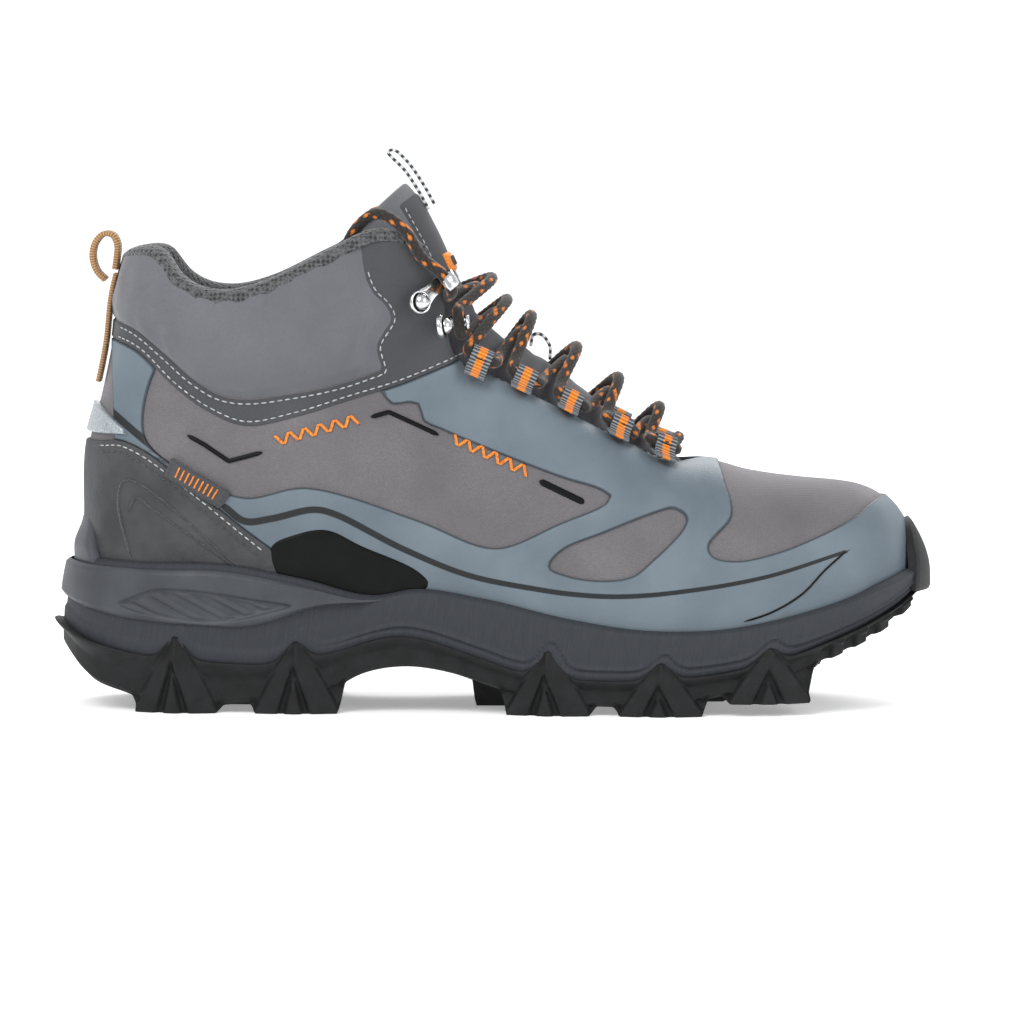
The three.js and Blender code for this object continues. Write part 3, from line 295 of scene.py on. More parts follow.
# ---------------------------------------------------------------- the route of the laces
def lace_route(first_side, on_top):
    """Through tabs and hooks from the throat base up, over the collar, down inside and along the footbed."""
    rows = {side: TABS[side] + HOOKS[side] for side in (-1, 1)}
    low, high = 4.7, 10.8
    start = tongue_point(0.05, 0, 6)
    start[1] = first_side
    points = [start, tongue_point(0.05, first_side * 0.6, 6.5)]
    places = ridge_at(np.arange(0, 1.0001, 0.005))

    def nearest(p):
        return 0.005 * np.argmin(np.hypot(places[:, 0] - p[0], places[:, 1] - p[2]))

    side = first_side
    for i in range(7):
        eye = rows[side][i]
        points += [eye.eye(1), eye.eye(-1)]
        if i == 6:
            break
        here, there = nearest(eye.eye(-1)), nearest(rows[-side][i + 1].eye(1))
        lift = high if on_top == (i % 2 == 0) else low
        flank = mix(low, lift, 0.4) + (2.4 if i > 3 else 0)
        points.append(tongue_point(mix(here, there, 0.15), side * 0.52, flank))
        points.append(tongue_point(mix(here, there, 0.5), 0, lift))
        points.append(tongue_point(mix(here, there, 0.85), -side * 0.52, flank))
        side = -side
    tucked = [(-24, 31.8, 156), (-31, 32.2, 166.5), (-40, 28.6, 171.2), (-49, 24.6, 163), (-51, 24, 150),
              (-51, 22.9, 122), (-50, 22.6, 80), (-45, 22, 50)]
    lying = [(-28, 21), (0, 20), (30, 19), (58, 18), (69, 14.5), (69, 7), (58, 4), (30, 4), (0, 4)]
    tucked += [(x, y, float(board_top(x)) + 4.4 + LACE / 2 + 2 * GAP) for x, y in lying]
    return points + [np.array((x, y * side, z)) for x, y, z in tucked]


# ---------------------------------------------------------------- meshes
def piece(name, points, faces, materials, slots=None, **attributes):
    """A mesh object from points in mm. slots holds a material number for each face."""
    mesh = bpy.data.meshes.new(name)
    places = (np.asarray(points, float).reshape(-1, 3) * MM).tolist()
    mesh.from_pydata(places, [], [list(map(int, f)) for f in faces])
    for material in materials:
        mesh.materials.append(material)
    if slots is not None:
        mesh.polygons.foreach_set("material_index", np.asarray(slots, np.int32))
    mesh.polygons.foreach_set("use_smooth", [True] * len(mesh.polygons))
    for key, values in attributes.items():
        store = mesh.attributes.new(key, "FLOAT", "POINT")
        store.data.foreach_set("value", np.asarray(values, np.float32).ravel())
    mesh.update()
    made = bpy.data.objects.new(name, mesh)
    bpy.context.scene.collection.objects.link(made)
    return made


def hand_over(made, body, slot, *nodes):
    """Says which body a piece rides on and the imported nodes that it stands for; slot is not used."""
    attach(made, body)
    if nodes:
        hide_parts(*nodes)


def lattice(rows, columns, wrap_columns=False, start=0):
    """Quads between rows x columns points, numbered row by row."""
    i = np.arange(rows - 1)
    j = np.arange(columns if wrap_columns else columns - 1)
    a, b = np.meshgrid(i, j, indexing="ij")
    c, d = a + 1, (b + 1) % columns
    corners = [a * columns + b, a * columns + d, c * columns + d, c * columns + b]
    return np.stack(corners, axis=-1).reshape(-1, 4) + start


def weld(made, distance):
    """Merges points closer than distance, in mm."""
    mesh = bmesh.new()
    mesh.from_mesh(made.data)
    bmesh.ops.remove_doubles(mesh, verts=mesh.verts, dist=distance * MM)
    mesh.to_mesh(made.data)
    mesh.free()


def outward(made):
    """Turns a closed mesh's faces outwards."""
    mesh = bmesh.new()
    mesh.from_mesh(made.data)
    bmesh.ops.recalc_face_normals(mesh, faces=mesh.faces)
    mesh.to_mesh(made.data)
    mesh.free()


def tube(path, radius, count):
    """Rings of count points round a path, with frames that don't twist."""
    path = np.asarray(path, float)
    way = unit(np.gradient(path, axis=0))
    across = np.empty_like(path)
    first = np.cross(way[0], (0, 0, 1)) if abs(way[0][2]) < 0.9 else np.cross(way[0], (0, 1, 0))
    across[0] = unit(first)
    for i in range(1, len(path)):
        across[i] = unit(across[i - 1] - way[i] * np.dot(across[i - 1], way[i]))
    other = np.cross(way, across)
    turn = np.arange(count) * 2 * math.pi / count
    radius = np.broadcast_to(np.asarray(radius, float), (len(path), count))
    round_it = np.cos(turn)[None, :, None] * across[:, None] + np.sin(turn)[None, :, None] * other[:, None]
    return path[:, None] + radius[..., None] * round_it


def tube_faces(rows, count):
    """Sides and two flat ends of a tube of rows rings of count points."""
    ends = [list(range(count))[::-1], list(range((rows - 1) * count, rows * count))]
    return lattice(rows, count, wrap_columns=True).tolist() + ends


# ---------------------------------------------------------------- materials
def linear(code):
    """sRGB hex to the linear colour that a shader takes."""
    parts = [int(code[i:i + 2], 16) / 255 for i in (1, 3, 5)]
    return tuple(c / 12.92 if c <= 0.04045 else ((c + 0.055) / 1.055) ** 2.4 for c in parts) + (1.0,)


def add(material, kind, inputs=None, **settings):
    """Adds a node with its settings; inputs gives a value or another node's output for each input."""
    made = material.node_tree.nodes.new(kind)
    for key, value in settings.items():
        setattr(made, key, value)
    for key, value in (inputs or {}).items():
        if isinstance(value, bpy.types.NodeSocket):
            material.node_tree.links.new(value, made.inputs[key])
        else:
            made.inputs[key].default_value = value
    return made


def finish_of(name, colour, roughness, **surface):
    """A new material and its shader."""
    made = bpy.data.materials.new(name)
    made.use_nodes = True
    shader = made.node_tree.nodes["Principled BSDF"]
    shader.inputs["Base Color"].default_value = linear(colour)
    shader.inputs["Roughness"].default_value = roughness
    for key, value in surface.items():
        shader.inputs[key.replace("_", " ")].default_value = value
    return made, shader


def join(material, source, target):
    material.node_tree.links.new(source, target)


def mottle(material, place, scale, low, high, detail=4.0):
    """Two colours mixed by soft noise."""
    noise = add(material, "ShaderNodeTexNoise", {"Vector": place, "Scale": scale, "Detail": detail})
    level = add(material, "ShaderNodeMapRange", {0: noise.outputs[0], 1: 0.35, 2: 0.65})
    return add(material, "ShaderNodeMix", {0: level.outputs[0], 6: linear(low), 7: linear(high)},
               data_type="RGBA").outputs[2]


def grain(material, shader, height, distance, strength=1.0):
    """A bump from a height in 0 to 1, distance metres deep."""
    bump = add(material, "ShaderNodeBump", {"Height": height, "Distance": distance, "Strength": strength})
    join(material, bump.outputs[0], shader.inputs["Normal"])


def object_place(material):
    """The place on the object, in metres."""
    return add(material, "ShaderNodeTexCoord").outputs["Object"]


def painted_line(material):
    """1 on the thin lines of a panel and 0 beside them, from the panel's own distance values."""
    stripe, near = (add(material, "ShaderNodeAttribute", attribute_name=key).outputs["Fac"]
                    for key in ("stripe", "near"))
    off = add(material, "ShaderNodeMath", {0: stripe}, operation="ABSOLUTE")
    line = add(material, "ShaderNodeMapRange", {0: off.outputs[0], 1: 1.15, 2: 0.85})
    near = add(material, "ShaderNodeMapRange", {0: near, 1: 2.0, 2: 1.6})
    return add(material, "ShaderNodeMath", {0: line.outputs[0], 1: near.outputs[0]}, operation="MULTIPLY")


def moulded_rubber():
    # Carbon rubber, moulded: near black and dull, with a faint sandy grain.
    made, shader = finish_of("moulded_rubber", "#111213", 0.6, Specular_IOR_Level=0.3)
    place = object_place(made)
    join(made, mottle(made, place, 160, "#0e0f10", "#191a1c"), shader.inputs["Base Color"])
    fine = add(made, "ShaderNodeTexNoise", {"Vector": place, "Scale": 2600.0, "Detail": 3.0})
    grain(made, shader, fine.outputs[0], 0.00022, 0.6)
    rough = add(made, "ShaderNodeMapRange", {0: fine.outputs[0], 3: 0.5, 4: 0.72})
    join(made, rough.outputs[0], shader.inputs["Roughness"])
    return made


def scored_foam():
    # Injected EVA foam with a fine upright scored texture: matt grey whose side catches light in thin streaks.
    low, high = "#2a2d32", "#383b41"
    made, shader = finish_of("scored_eva_foam", low, 0.68, Specular_IOR_Level=0.3)
    run = add(made, "ShaderNodeAttribute", attribute_name="run")
    rise = add(made, "ShaderNodeAttribute", attribute_name="rise")
    score = add(made, "ShaderNodeCombineXYZ", {0: run.outputs["Fac"], 1: rise.outputs["Fac"]})
    stretched = add(made, "ShaderNodeMapping", {"Vector": score.outputs[0], "Scale": (1.5, 0.09, 1)})
    lines = add(made, "ShaderNodeTexNoise", {"Vector": stretched.outputs[0], "Scale": 1.0, "Detail": 3.0})
    colour = add(made, "ShaderNodeMix", {0: lines.outputs[0], 6: linear(low), 7: linear(high)}, data_type="RGBA")
    join(made, colour.outputs[2], shader.inputs["Base Color"])
    grain(made, shader, lines.outputs[0], 0.0005, 0.7)
    return made


def cradle_plastic():
    # Moulded TPU: a satin grey with a fine spark-eroded grain.
    made, shader = finish_of("moulded_tpu_cradle", "#4d5157", 0.5, Specular_IOR_Level=0.35)
    place = object_place(made)
    join(made, mottle(made, place, 60, "#383b40", "#45484e"), shader.inputs["Base Color"])
    fine = add(made, "ShaderNodeTexNoise", {"Vector": place, "Scale": 3200.0, "Detail": 2.0})
    grain(made, shader, fine.outputs[0], 0.00012, 0.5)
    return made


def brushed_softshell(name, low, high, weave_mm=0.55, sheen=0.25):
    # Bonded softshell fabric: matt and even, a tight weave that shows as a fine heather.
    made, shader = finish_of(name, low, 0.92, Sheen_Weight=sheen, Sheen_Roughness=0.45)
    place = object_place(made)
    cloudy = add(made, "ShaderNodeTexNoise", {"Vector": place, "Scale": 42.0, "Detail": 3.0})
    threads = add(made, "ShaderNodeTexNoise", {"Vector": place, "Scale": 1.1 / (weave_mm * MM), "Detail": 2.0})
    blend = add(made, "ShaderNodeMath", {0: cloudy.outputs[0], 1: threads.outputs[0]}, operation="MULTIPLY_ADD")
    blend.inputs[2].default_value = 0.2
    level = add(made, "ShaderNodeMapRange", {0: blend.outputs[0], 1: 0.3, 2: 0.62})
    colour = add(made, "ShaderNodeMix", {0: level.outputs[0], 6: linear(low), 7: linear(high)}, data_type="RGBA")
    join(made, colour.outputs[2], shader.inputs["Base Color"])
    waves = [add(made, "ShaderNodeTexWave", {"Vector": place, "Scale": 0.33 / (weave_mm * MM), "Distortion": 1.2},
                 bands_direction=way) for way in ("DIAGONAL", "Z")]
    cross = add(made, "ShaderNodeMath", {0: waves[0].outputs[1], 1: waves[1].outputs[1]}, operation="MULTIPLY")
    grain(made, shader, cross.outputs[0], 0.00014, 0.55)
    return made


def fused_film():
    # Heat-fused TPU film: blue-grey, satin, with a fine leathery emboss; it is painted darker over its rolled edge, a
    # painted shade along the edge.
    made, shader = finish_of("fused_tpu_film", "#6f7d87", 0.5, Specular_IOR_Level=0.35)
    place = object_place(made)
    body = mottle(made, place, 30, "#5b6770", "#6a767f")
    edge = add(made, "ShaderNodeAttribute", attribute_name="edge")
    # Painted shade along the rolled edge: the colour turns dark within 0.8 mm of the panel's edge.
    rim = add(made, "ShaderNodeMapRange", {0: edge.outputs["Fac"], 1: 0.35, 2: 0.8, 3: 1.0, 4: 0.0})
    edge_shaded = add(made, "ShaderNodeMix", {0: rim.outputs[0], 6: body, 7: linear("#3b444b")}, data_type="RGBA")
    painted = painted_line(made)
    striped = add(made, "ShaderNodeMix", {0: painted.outputs[0], 6: edge_shaded.outputs[2], 7: linear("#1b1e20")},
                  data_type="RGBA")
    join(made, striped.outputs[2], shader.inputs["Base Color"])
    cells = add(made, "ShaderNodeTexVoronoi", {"Vector": place, "Scale": 1500.0}, feature="F1")
    grain(made, shader, cells.outputs["Distance"], 0.00012, 0.5)
    return made


def coated_leather():
    # Coated split leather: mid grey, with a shallow pebble grain about 1 mm across.
    made, shader = finish_of("coated_split_leather", "#55565a", 0.6, Specular_IOR_Level=0.3)
    place = object_place(made)
    join(made, mottle(made, place, 70, "#363739", "#464749"), shader.inputs["Base Color"])
    cells = add(made, "ShaderNodeTexVoronoi", {"Vector": place, "Scale": 900.0}, feature="SMOOTH_F1")
    grain(made, shader, cells.outputs["Distance"], 0.0003, 0.55)
    return made


def glossy_film():
    # Glossy black TPU film: smooth, with a soft highlight.
    made, shader = finish_of("gloss_black_tpu_film", "#1e2123", 0.42, Specular_IOR_Level=0.15)
    place = object_place(made)
    join(made, mottle(made, place, 90, "#060707", "#0c0d0e"), shader.inputs["Base Color"])
    fine = add(made, "ShaderNodeTexNoise", {"Vector": place, "Scale": 1800.0})
    grain(made, shader, fine.outputs[0], 0.0001, 0.4)
    return made


def spacer_mesh():
    # Warp-knit spacer mesh: dark melange with rows of small open cells about 1.6 mm apart; the cell middles are painted
    # near black, a painted shade inside the open cells.
    made, shader = finish_of("knit_spacer_mesh", "#4a4a4b", 0.95, Sheen_Weight=0.3)
    place = object_place(made)
    cells = add(made, "ShaderNodeTexVoronoi", {"Vector": place, "Scale": 620.0, "Randomness": 0.3}, feature="F1")
    hole = add(made, "ShaderNodeMapRange", {0: cells.outputs["Distance"], 1: 0.25, 2: 0.5})
    yarn = mottle(made, place, 1300, "#3c3d3f", "#606163", 2.0)
    # Painted shade: the middles of the open cells are near black.
    colour = add(made, "ShaderNodeMix", {0: hole.outputs[0], 6: linear("#262729"), 7: yarn}, data_type="RGBA")
    join(made, colour.outputs[2], shader.inputs["Base Color"])
    grain(made, shader, hole.outputs[0], 0.0005, 0.7)
    return made


def woven_webbing(name, ground, ridge, stripe=None, rib_mm=RIB_PITCH):
    # Polyester webbing, woven: ribs across the band, a coloured stripe down the middle where it has one. Each rib is
    # painted in the ridge colour on its crest and the ground colour between ribs, and the stripe in a lit and a shaded
    # orange the same way: painted highlight and painted shade.
    made, shader = finish_of(name, ground, 0.85, Sheen_Weight=0.2)
    across = add(made, "ShaderNodeAttribute", attribute_name="across").outputs["Fac"]
    run = add(made, "ShaderNodeAttribute", attribute_name="run").outputs["Fac"]
    turn = add(made, "ShaderNodeMath", {0: run, 1: 2 * math.pi / rib_mm}, operation="MULTIPLY")
    wave = add(made, "ShaderNodeMath", {0: turn.outputs[0]}, operation="SINE")
    rib = add(made, "ShaderNodeMapRange", {0: wave.outputs[0], 1: -0.6, 2: 0.7})
    # Painted highlight and shade: the colour is lighter where the rib's bump is high and darker where it is low.
    colour = add(made, "ShaderNodeMix", {0: rib.outputs[0], 6: linear(ground), 7: linear(ridge)}, data_type="RGBA")
    result = colour.outputs[2]
    if stripe:
        off = add(made, "ShaderNodeMath", {0: across}, operation="ABSOLUTE")
        band = add(made, "ShaderNodeMapRange", {0: off.outputs[0], 1: 0.42, 2: 0.36})
        # The stripe's orange is painted the same way: a shaded orange between ribs and a lit one on their crests.
        thread = add(made, "ShaderNodeMix", {0: rib.outputs[0], 6: linear(stripe[0]), 7: linear(stripe[1])},
                     data_type="RGBA")
        result = add(made, "ShaderNodeMix", {0: band.outputs[0], 6: result, 7: thread.outputs[2]},
                     data_type="RGBA").outputs[2]
    join(made, result, shader.inputs["Base Color"])
    grain(made, shader, rib.outputs[0], 0.0004, 0.8)
    return made


def braided_cord():
    # Braided polyester lace: near-black yarn with orange carriers that surface as short flecks; each strand is painted
    # lighter on its crown and darker at its edges, where it meets and dips under the next: painted highlight and
    # painted shade.
    made, shader = finish_of("braided_polyester_lace", "#2b2622", 0.85, Sheen_Weight=0.25)
    fleck = add(made, "ShaderNodeAttribute", attribute_name="fleck").outputs["Fac"]
    crown = add(made, "ShaderNodeAttribute", attribute_name="crown").outputs["Fac"]
    # Painted highlight and shade: each yarn is mixed from a dark tone at the strand's edges to a light one on its
    # crown.
    dark = add(made, "ShaderNodeMix", {0: crown, 6: linear("#0f0d0c"), 7: linear("#2f2823")}, data_type="RGBA")
    bright = add(made, "ShaderNodeMix", {0: crown, 6: linear("#8f4a0e"), 7: linear("#df8022")}, data_type="RGBA")
    share = add(made, "ShaderNodeMapRange", {0: fleck, 1: 0.48, 2: 0.72})
    colour = add(made, "ShaderNodeMix", {0: share.outputs[0], 6: dark.outputs[2], 7: bright.outputs[2]},
                 data_type="RGBA")
    join(made, colour.outputs[2], shader.inputs["Base Color"])
    fibre = add(made, "ShaderNodeTexNoise", {"Vector": object_place(made), "Scale": 3500.0})
    grain(made, shader, fibre.outputs[0], 0.0002, 0.5)
    return made


def plain_thread(name, low, high):
    # Twisted polyester sewing thread: a soft sheen, and a tone that changes along the yarn.
    made, shader = finish_of(name, low, 0.7, Sheen_Weight=0.2)
    place = object_place(made)
    join(made, mottle(made, place, 1600, low, high, 1.0), shader.inputs["Base Color"])
    return made


def chrome_plate():
    # Chrome-plated steel: mirror-like with faint handling marks that soften the gloss.
    made, shader = finish_of("chrome_plated_steel", "#d9dbdd", 0.14, Metallic=1.0)
    haze = add(made, "ShaderNodeTexNoise", {"Vector": object_place(made), "Scale": 700.0, "Detail": 3.0})
    rough = add(made, "ShaderNodeMapRange", {0: haze.outputs[0], 3: 0.1, 4: 0.26})
    join(made, rough.outputs[0], shader.inputs["Roughness"])
    return made


def even_finish(name, low, high, roughness, scale, bump_scale, depth, **surface):
    """A finish whose only marks are a soft mottle and a fine, even grain."""
    made, shader = finish_of(name, low, roughness, **surface)
    place = object_place(made)
    join(made, mottle(made, place, scale, low, high), shader.inputs["Base Color"])
    fine = add(made, "ShaderNodeTexNoise", {"Vector": place, "Scale": bump_scale, "Detail": 3.0})
    grain(made, shader, fine.outputs[0], depth, 0.6)
    return made


RUBBER = moulded_rubber()
FOAM = scored_foam()
CRADLE = cradle_plastic()
SOFTSHELL = brushed_softshell("bonded_softshell", "#5d5b5e", "#6f6c70")
ANKLE = brushed_softshell("brushed_ankle_fabric", "#5a5b60", "#696a6f", 0.4, 0.35)
BAND = brushed_softshell("coated_facing_fabric", "#3f4043", "#4a4b4f", 0.4, 0.15)
FILM_FINISH = fused_film()
LEATHER = coated_leather()
BLACK = glossy_film()
MESH = spacer_mesh()
TAB_WEB = woven_webbing("ribbed_tab_webbing", "#34373b", "#8b9096", ("#c96a12", "#f7941f"))
LOOP_WEB = woven_webbing("twill_pull_webbing", "#8f6a45", "#c49a6c", None, 0.9)
PULL_WEB = woven_webbing("braided_pull_cord", "#2b2d30", "#cfd2d4", None, 2.4)
CORD = braided_cord()
CHROME = chrome_plate()
# Sewing threads: a pale one that picks out the seams, a dark one that hides in them, orange for the embroidery.
SEAM_THREAD = plain_thread("pale_seam_thread", "#8e9093", "#c3c5c7")
DARK_THREAD = plain_thread("dark_seam_thread", "#2a2b2d", "#45474a")
ORANGE_THREAD = plain_thread("orange_embroidery_thread", "#cb6a10", "#f0942a")
# Heat-shrunk plastic lace tip, glossy and dark.
TIP = even_finish("shrunk_plastic_tip", "#1c1c1d", "#2a2a2b", 0.3, 200.0, 900.0, 0.00005)
# Retroreflective tape: silver grey with a beaded glitter.
REFLECTIVE = even_finish("beaded_reflective_tape", "#8d959a", "#b4bcc1", 0.4, 1500.0, 2600.0, 0.0001,
                         Metallic=0.35)
# Die-cut felt footbed cloth, dark and fibrous.
FOOTBED_CLOTH = even_finish("needled_footbed_cloth", "#37383a", "#4c4d50", 0.95, 900.0, 2200.0, 0.0003)
# Pressed cellulose board of the insole, heel stiffener and toe puff: tan, dull and fibrous.
FIBREBOARD = even_finish("pressed_fibreboard", "#a89878", "#c0b08e", 0.9, 300.0, 1200.0, 0.0002)
# Cold-rolled shank strip: a clean satin grey.
SHANK_STEEL = even_finish("cold_rolled_steel", "#9b9ea2", "#b4b7ba", 0.35, 200.0, 900.0, 0.00005,
                          Metallic=1.0)

# ---------------------------------------------------------------- camera, floor and light
view_width = 0.3584
aim = Vector((0.00665, 0, 0.0665))
lens = 200
away = lens / 36 * view_width
tilt = math.radians(4)
camera = bpy.data.objects.new("camera", bpy.data.cameras.new("camera"))
camera.data.lens = lens
camera.data.sensor_width = 36
camera.data.clip_end = 20
camera.location = aim + Vector((0, -away * math.cos(tilt), away * math.sin(tilt)))
camera.rotation_euler = (math.pi / 2 - tilt, 0, 0)
bpy.context.scene.collection.objects.link(camera)
bpy.context.scene.camera = camera
bpy.context.scene.view_settings.view_transform = "Standard"

# A paper sweep: level floor that turns up smoothly far behind the boot.
sweep = [(-4.0, 0.0), (2.0, 0.0)]
sweep += [(2.0 + 1.5 * math.sin(a), 1.5 - 1.5 * math.cos(a)) for a in np.linspace(0.1, math.pi / 2, 15)] + [(3.5, 5.0)]
floor_mesh = bpy.data.meshes.new("floor")
floor_mesh.from_pydata([(x, y, z) for y, z in sweep for x in (-6, 6)], [],
                       [(2 * i, 2 * i + 1, 2 * i + 3, 2 * i + 2) for i in range(len(sweep) - 1)])
floor_mesh.polygons.foreach_set("use_smooth", [True] * len(floor_mesh.polygons))
floor = bpy.data.objects.new("floor", floor_mesh)
bpy.context.scene.collection.objects.link(floor)
paper, _ = finish_of("studio_paper", "#f8f8f8", 0.9, Emission_Color=(1, 1, 1, 1),
                     Emission_Strength=0.3)
floor_mesh.materials.append(paper)

world = bpy.data.worlds.new("studio")
bpy.context.scene.world = world
world.use_nodes = True
world.node_tree.nodes["Background"].inputs[0].default_value = (1, 1, 1, 1)
world.node_tree.nodes["Background"].inputs[1].default_value = 0.66


def soft_light(name, place, size, power):
    """A soft box that points at the boot."""
    lamp = bpy.data.objects.new(name, bpy.data.lights.new(name, "AREA"))
    lamp.data.shape = "RECTANGLE"
    lamp.data.size, lamp.data.size_y = size
    lamp.data.energy = power
    lamp.location = place
    lamp.rotation_euler = (Vector((0, 0, 0.08)) - Vector(place)).to_track_quat("-Z", "Y").to_euler()
    bpy.context.scene.collection.objects.link(lamp)


soft_light("key_light", (-0.7, -1.1, 1.3), (0.9, 0.9), 17)
soft_light("fill_light", (1.2, -0.9, 0.7), (0.8, 0.8), 6)
soft_light("rim_light", (0.3, 1.2, 1.1), (1.2, 0.6), 14)


# ---------------------------------------------------------------- laces
def braided_lace(name, route):
    """A round braid: strands cross over and under, and one in six each way is orange."""
    path = spline(route, 1500)
    count, strands, pitch = 24, 6, 3.0
    run = run_along(path)
    turn = np.arange(count) / count
    one = strands * turn[None, :] + run[:, None] / pitch
    two = strands * turn[None, :] - run[:, None] / pitch
    cell_one, cell_two = np.floor(one), np.floor(two)
    # crown is 1 on the top of each strand and 0 at its edges; it swells the braid and also drives the painted highlight
    # and painted shade of the lace colour.
    crown = np.sin(math.pi * (one - cell_one)) * np.sin(math.pi * (two - cell_two))
    over = (cell_one + cell_two) % 2 == 0
    fleck = np.where(over, cell_one % strands == 0, cell_two % strands == 3)
    rings = tube(path, LACE / 2 * (0.94 + 0.1 * crown), count)
    made = piece(name, rings, tube_faces(len(path), count), [CORD], fleck=fleck, crown=crown)
    return made, path


for side, first, on_top in (("lateral", -1, True), ("medial", 1, False)):
    route = lace_route(first, on_top)
    made, path = braided_lace(f"braided_lace_{side}", route)
    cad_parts[f"aglet_{side}"].data.materials.clear()
    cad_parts[f"aglet_{side}"].data.materials.append(TIP)
    hand_over(made, "boot", "lace_cord", f"lace_{side}")


# ---------------------------------------------------------------- panels of the upper
class Sheet:
    """Triangles on the upper's surface, with values at their corners that are cut together with them."""

    def __init__(self, base, normal, faces, **values):
        self.base, self.normal, self.faces, self.values = base, normal, faces, values

    def split(self, field, level=0.0, keep=False):
        """Cuts every triangle along field == level; with keep, drops what lies under the level."""
        side = field - level
        side = np.where(np.abs(side) < 1e-3, 1e-3, side)
        up = side > 0
        f = self.faces
        count = up[f].sum(axis=1)
        whole, crossed = f[(count == 0) | (count == 3)], f[(count == 1) | (count == 2)]
        lone = np.argmax(up[crossed] == (up[crossed].sum(axis=1) == 1)[:, None], axis=1)
        rows = np.arange(len(crossed))
        a, b, c = (crossed[rows, (lone + k) % 3] for k in range(3))
        pairs = np.sort(np.stack([np.stack([a, b], 1), np.stack([a, c], 1)]).reshape(-1, 2), axis=1)
        edges, number = np.unique(pairs, axis=0, return_inverse=True)
        number = number.ravel() + len(self.base)
        ab, ac = number[:len(rows)], number[len(rows):]
        share = side[edges[:, 0]] / (side[edges[:, 0]] - side[edges[:, 1]])

        def grown(value):
            k = share.reshape((-1,) + (1,) * (value.ndim - 1))
            return np.concatenate([value, mix(value[edges[:, 0]], value[edges[:, 1]], k)])

        faces = np.concatenate([whole, np.stack([a, ab, ac], 1), np.stack([ab, b, c], 1), np.stack([ab, c, ac], 1)])
        above = np.concatenate([up[whole[:, 0]] if len(whole) else np.zeros(0, bool), up[a], up[b], up[b]])
        made = Sheet(grown(self.base), unit(grown(self.normal)), faces,
                     **{k: grown(v) for k, v in self.values.items()})
        made.faces = faces[above] if keep else faces
        field = grown(field)
        return (made.packed(field) if keep else (made, field))

    def packed(self, *extra):
        """Drops the unused points. Extra values are packed too."""
        used, faces = np.unique(self.faces, return_inverse=True)
        made = Sheet(self.base[used], self.normal[used], faces.reshape(-1, 3),
                     **{k: v[used] for k, v in self.values.items()})
        return (made, *(value[used] for value in extra)) if extra else made

    def border(self):
        """Edges that belong to one triangle only, in that triangle's direction."""
        edges = self.faces[:, [0, 1, 1, 2, 2, 0]].reshape(-1, 2)
        key = np.sort(edges, axis=1)
        _, first, count = np.unique(key, axis=0, return_index=True, return_counts=True)
        return edges[first[count == 1]]

    def solid(self, name, depth, skirt, materials, **attributes):
        """The outer face at the given depth, with a skirt that turns its edge down into the boot."""
        depth = np.broadcast_to(np.asarray(depth, float), (len(self.base),))
        top = self.base + self.normal * depth[:, None]
        rim = self.border()
        ends, number = np.unique(rim, return_inverse=True)
        number = number.reshape(-1, 2) + len(top)
        low = top[ends] - self.normal[ends] * skirt
        walls = np.stack([rim[:, 1], rim[:, 0], number[:, 0], number[:, 1]], axis=1)
        faces = self.faces.tolist() + walls.tolist()
        carried = {k: np.concatenate([np.asarray(v, float), np.asarray(v, float)[ends]])
                   for k, v in attributes.items()}
        made = piece(name, np.concatenate([top, low]), faces, materials, **carried)
        weld(made, 0.02)
        return made


def even_stations(count):
    """Stations round the upper, close to evenly spaced, the same on both sides."""
    u = np.linspace(0, 1, 4000)
    line = skin_point(u, 0.45)
    run = run_along(line)
    half = np.interp(np.linspace(0, run[-1], count + 1), run, u)
    return np.concatenate([half, 2 - half[-2:0:-1]])


ROUND = even_stations(300)
LEVELS = np.concatenate([np.linspace(0, 0.9, 80, endpoint=False), np.linspace(0.9, 1, 14)])


def upper_sheet():
    w, v = np.meshgrid(np.append(ROUND, 2.0), LEVELS, indexing="ij")
    base = skin(w, v, np.zeros(w.shape))
    normal = skin(w, v, np.ones(w.shape)) - base
    quads = lattice(len(ROUND) + 1, len(LEVELS))
    faces = np.concatenate([quads[:, [0, 3, 2]], quads[:, [0, 2, 1]]])
    edge_one, edge_two = base[1, 40] - base[0, 40], base[0, 41] - base[0, 40]
    if np.dot(np.cross(edge_one, edge_two), normal[0, 40]) < 0:
        faces = faces[:, ::-1]
    return Sheet(base.reshape(-1, 3), normal.reshape(-1, 3), faces, w=w.ravel(), v=v.ravel())


UPPER = upper_sheet()


def inside(outline, x, z):
    """Signed distance in mm to a side-view outline, positive inside it."""
    p = np.asarray(outline, float)
    q = np.roll(p, -1, axis=0)
    best = np.full(x.shape, 1e9)
    odd = np.zeros(x.shape, bool)
    for (ax, az), (bx, bz) in zip(p, q):
        dx, dz = bx - ax, bz - az
        k = np.clip(((x - ax) * dx + (z - az) * dz) / max(dx * dx + dz * dz, 1e-9), 0, 1)
        best = np.minimum(best, np.hypot(x - ax - k * dx, z - az - k * dz))
        if az != bz:
            odd ^= ((az > z) != (bz > z)) & (x < ax + (z - az) / (bz - az) * dx)
    return np.where(odd, best, -best)


def beside(lines, x, z):
    """Values that draw thin lines: signed distance over half the width of the nearest line, and plain distance."""
    best = np.full(x.shape, 1e9)
    signed = np.full(x.shape, 1e9)
    for line, half_width in lines:
        p = np.asarray(line, float)
        widths = np.broadcast_to(np.asarray(half_width, float), (len(p),))
        for (ax, az), (bx, bz), wide in zip(p[:-1], p[1:], widths):
            dx, dz = bx - ax, bz - az
            k = np.clip(((x - ax) * dx + (z - az) * dz) / max(dx * dx + dz * dz, 1e-9), 0, 1)
            gap = np.hypot(x - ax - k * dx, z - az - k * dz)
            closer = gap < best
            best = np.where(closer, gap, best)
            way = np.sign(dx * (z - az) - dz * (x - ax))
            signed = np.where(closer, gap * np.where(way == 0, 1, way) / wide, signed)
    return {"stripe": signed, "near": best}


def rounded(points, count=120):
    """A closed, smooth side-view outline."""
    return spline(points, count, closed=True)[:-1]


